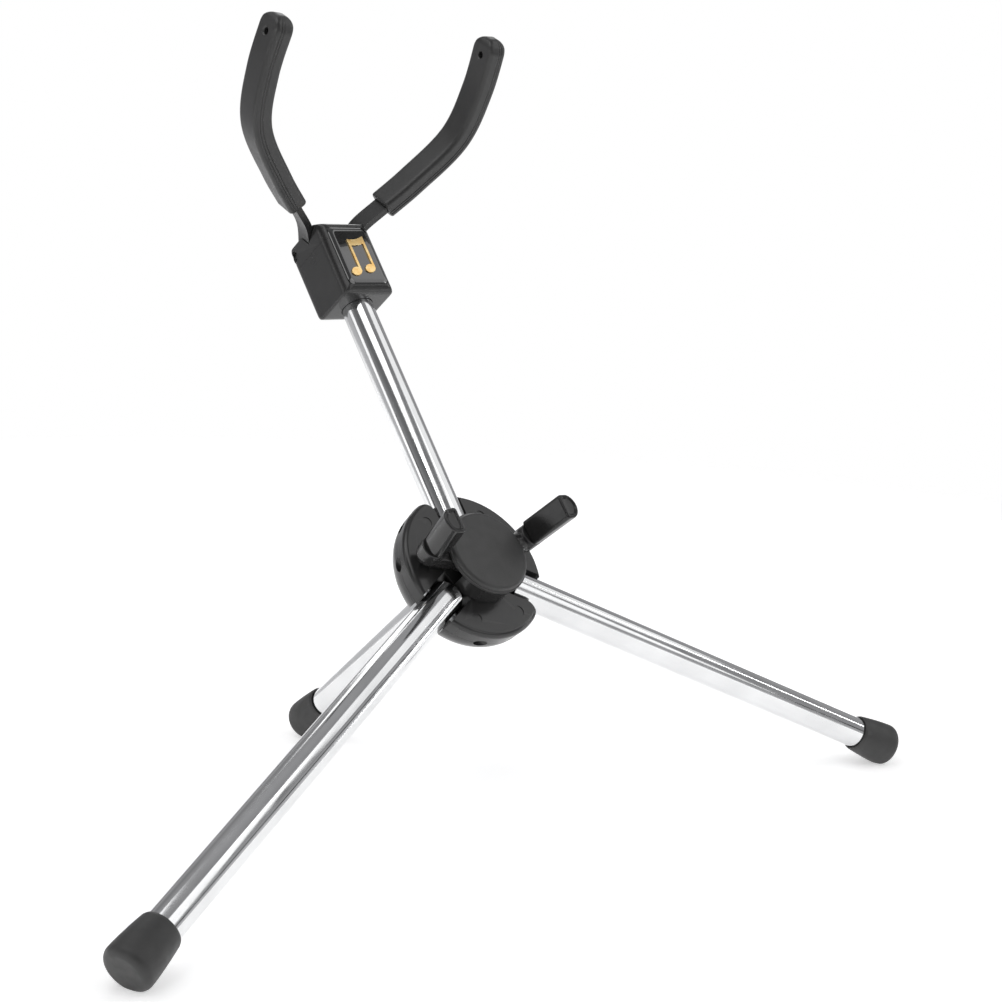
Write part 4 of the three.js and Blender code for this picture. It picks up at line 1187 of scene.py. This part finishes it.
def stage_floor():
    """Pale disc that fades into the backdrop at its edge."""
    floor = solid(lathe([(0, 0), (3000, 0), (3000, -5), (0, -5)], 64), "floor")
    floor.data.transform(Matrix.Scale(MM, 4))
    glow = {"Emission_Color": (1, 1, 1, 1), "Emission_Strength": 0.47}
    material, shader = start_material("floor", Roughness=0.9, **glow)
    colour = blended(material, noise_of(material, 3, 3), grey(0.90), grey(0.93))
    link(material, colour, shader.inputs["Base Color"])
    distance = add_node(material, "VectorMath")
    distance.operation = "LENGTH"
    link(material, add_node(material, "TexCoord").outputs["Object"], distance.inputs[0])
    link(material, ranged(material, distance.outputs["Value"], (0.5, 1.1), (1, 0)), shader.inputs["Alpha"])
    floor.data.materials.append(material)
    floor.visible_shadow = False


def soft_box(name, azimuth, elevation, distance, size, brightness):
    """Area light aimed at the stand from a viewpoint."""
    back = toward_view(azimuth, elevation)
    light = bpy.data.lights.new(name, "AREA")
    light.shape = "RECTANGLE"
    light.size, light.size_y = size
    light.energy = brightness * math.pi * size[0] * size[1]
    obj = bpy.data.objects.new(name, light)
    obj.location = AIM + back * distance
    obj.rotation_euler = back.to_track_quat("Z", "Y").to_euler()
    bpy.context.scene.collection.objects.link(obj)


def graded(world, value, stops):
    """Grey that a value from -1 to 1 picks from a ramp of (position, level) stops."""
    ramp = add_node(world, "ValToRGB")
    elements = ramp.color_ramp.elements
    while len(elements) < len(stops):
        elements.new(0.5)
    for element, (position, level) in zip(elements, stops):
        element.position = position
        element.color = (level, level, level * 1.01, 1)
    link(world, ranged(world, value, (-1, 1), (0, 1)), ramp.inputs["Fac"])
    return ramp.outputs["Color"]


def backdrop():
    """Even pale surroundings for the camera, and a dimmer graded studio for light and reflections."""
    world = bpy.data.worlds.new("studio")
    bpy.context.scene.world = world
    world.use_nodes = True
    world.node_tree.nodes.clear()
    place = add_node(world, "TexCoord").outputs["Generated"]
    split = add_node(world, "SeparateXYZ")
    toward = add_node(world, "VectorMath")
    toward.operation = "DOT_PRODUCT"
    toward.inputs[1].default_value = VIEW_BACK
    link(world, place, split.inputs["Vector"])
    link(world, place, toward.inputs[0])
    stripe = ((0.575, 0.5), (0.59, 0.03), (0.61, 0.03), (0.625, 0.42))
    height = graded(world, split.outputs["Z"], ((0.5, 0.6), *stripe, (0.8, 0.24), (1.0, 0.4)))
    stops = ((0.0, 1.0), (0.5, 0.85), (0.7, 0.65), (0.9, 0.55))
    depth = graded(world, toward.outputs["Value"], stops)
    both = add_node(world, "VectorMath")
    both.operation = "MULTIPLY"
    link(world, height, both.inputs[0])
    link(world, depth, both.inputs[1])
    studio = add_node(world, "Background")
    plain = add_node(world, "Background", Color=(1, 1, 1, 1))
    link(world, both.outputs["Vector"], studio.inputs["Color"])
    mix = add_node(world, "MixShader")
    link(world, add_node(world, "LightPath").outputs["Is Camera Ray"], mix.inputs["Fac"])
    link(world, studio.outputs["Background"], mix.inputs[1])
    link(world, plain.outputs["Background"], mix.inputs[2])
    link(world, mix.outputs["Shader"], add_node(world, "OutputWorld").inputs["Surface"])


def camera():
    data = bpy.data.cameras.new("camera")
    data.lens = CAMERA_LENS
    data.sensor_width = 36
    obj = bpy.data.objects.new("camera", data)
    right = Vector((-VIEW_BACK.y, VIEW_BACK.x, 0)).normalized()
    up = VIEW_BACK.cross(right)
    tilted = right * math.cos(CAMERA_ROLL) + up * math.sin(CAMERA_ROLL)
    turn = Matrix((tilted, VIEW_BACK.cross(tilted), VIEW_BACK)).transposed().to_4x4()
    obj.matrix_world = Matrix.Translation(HUB_CENTRE + CAMERA_OFFSET) @ turn
    bpy.context.scene.collection.objects.link(obj)
    bpy.context.scene.camera = obj


stage_floor()
backdrop()
soft_box("left_box", -118, 28, 1.3, (0.3, 1.6), 1.1)
soft_box("right_box", 22, 32, 1.4, (0.6, 1.4), 1.05)
soft_box("right_strip", 62, 12, 1.5, (0.05, 1.2), 8.0)
soft_box("top_box", -86, 66, 1.2, (1.1, 0.75), 1.5)
soft_box("front_strip", -66, 22, 1.5, (0.045, 1.3), 7.0)
soft_box("low_strip", -84, 3, 1.3, (0.6, 0.08), 6.0)
soft_box("cap_fill", 66, 44, 1.4, (1.0, 0.9), 0.8)
soft_box("rear_box", 150, 35, 1.5, (0.9, 1.2), 1.3)
camera()
bpy.context.scene.view_settings.view_transform = "Standard"
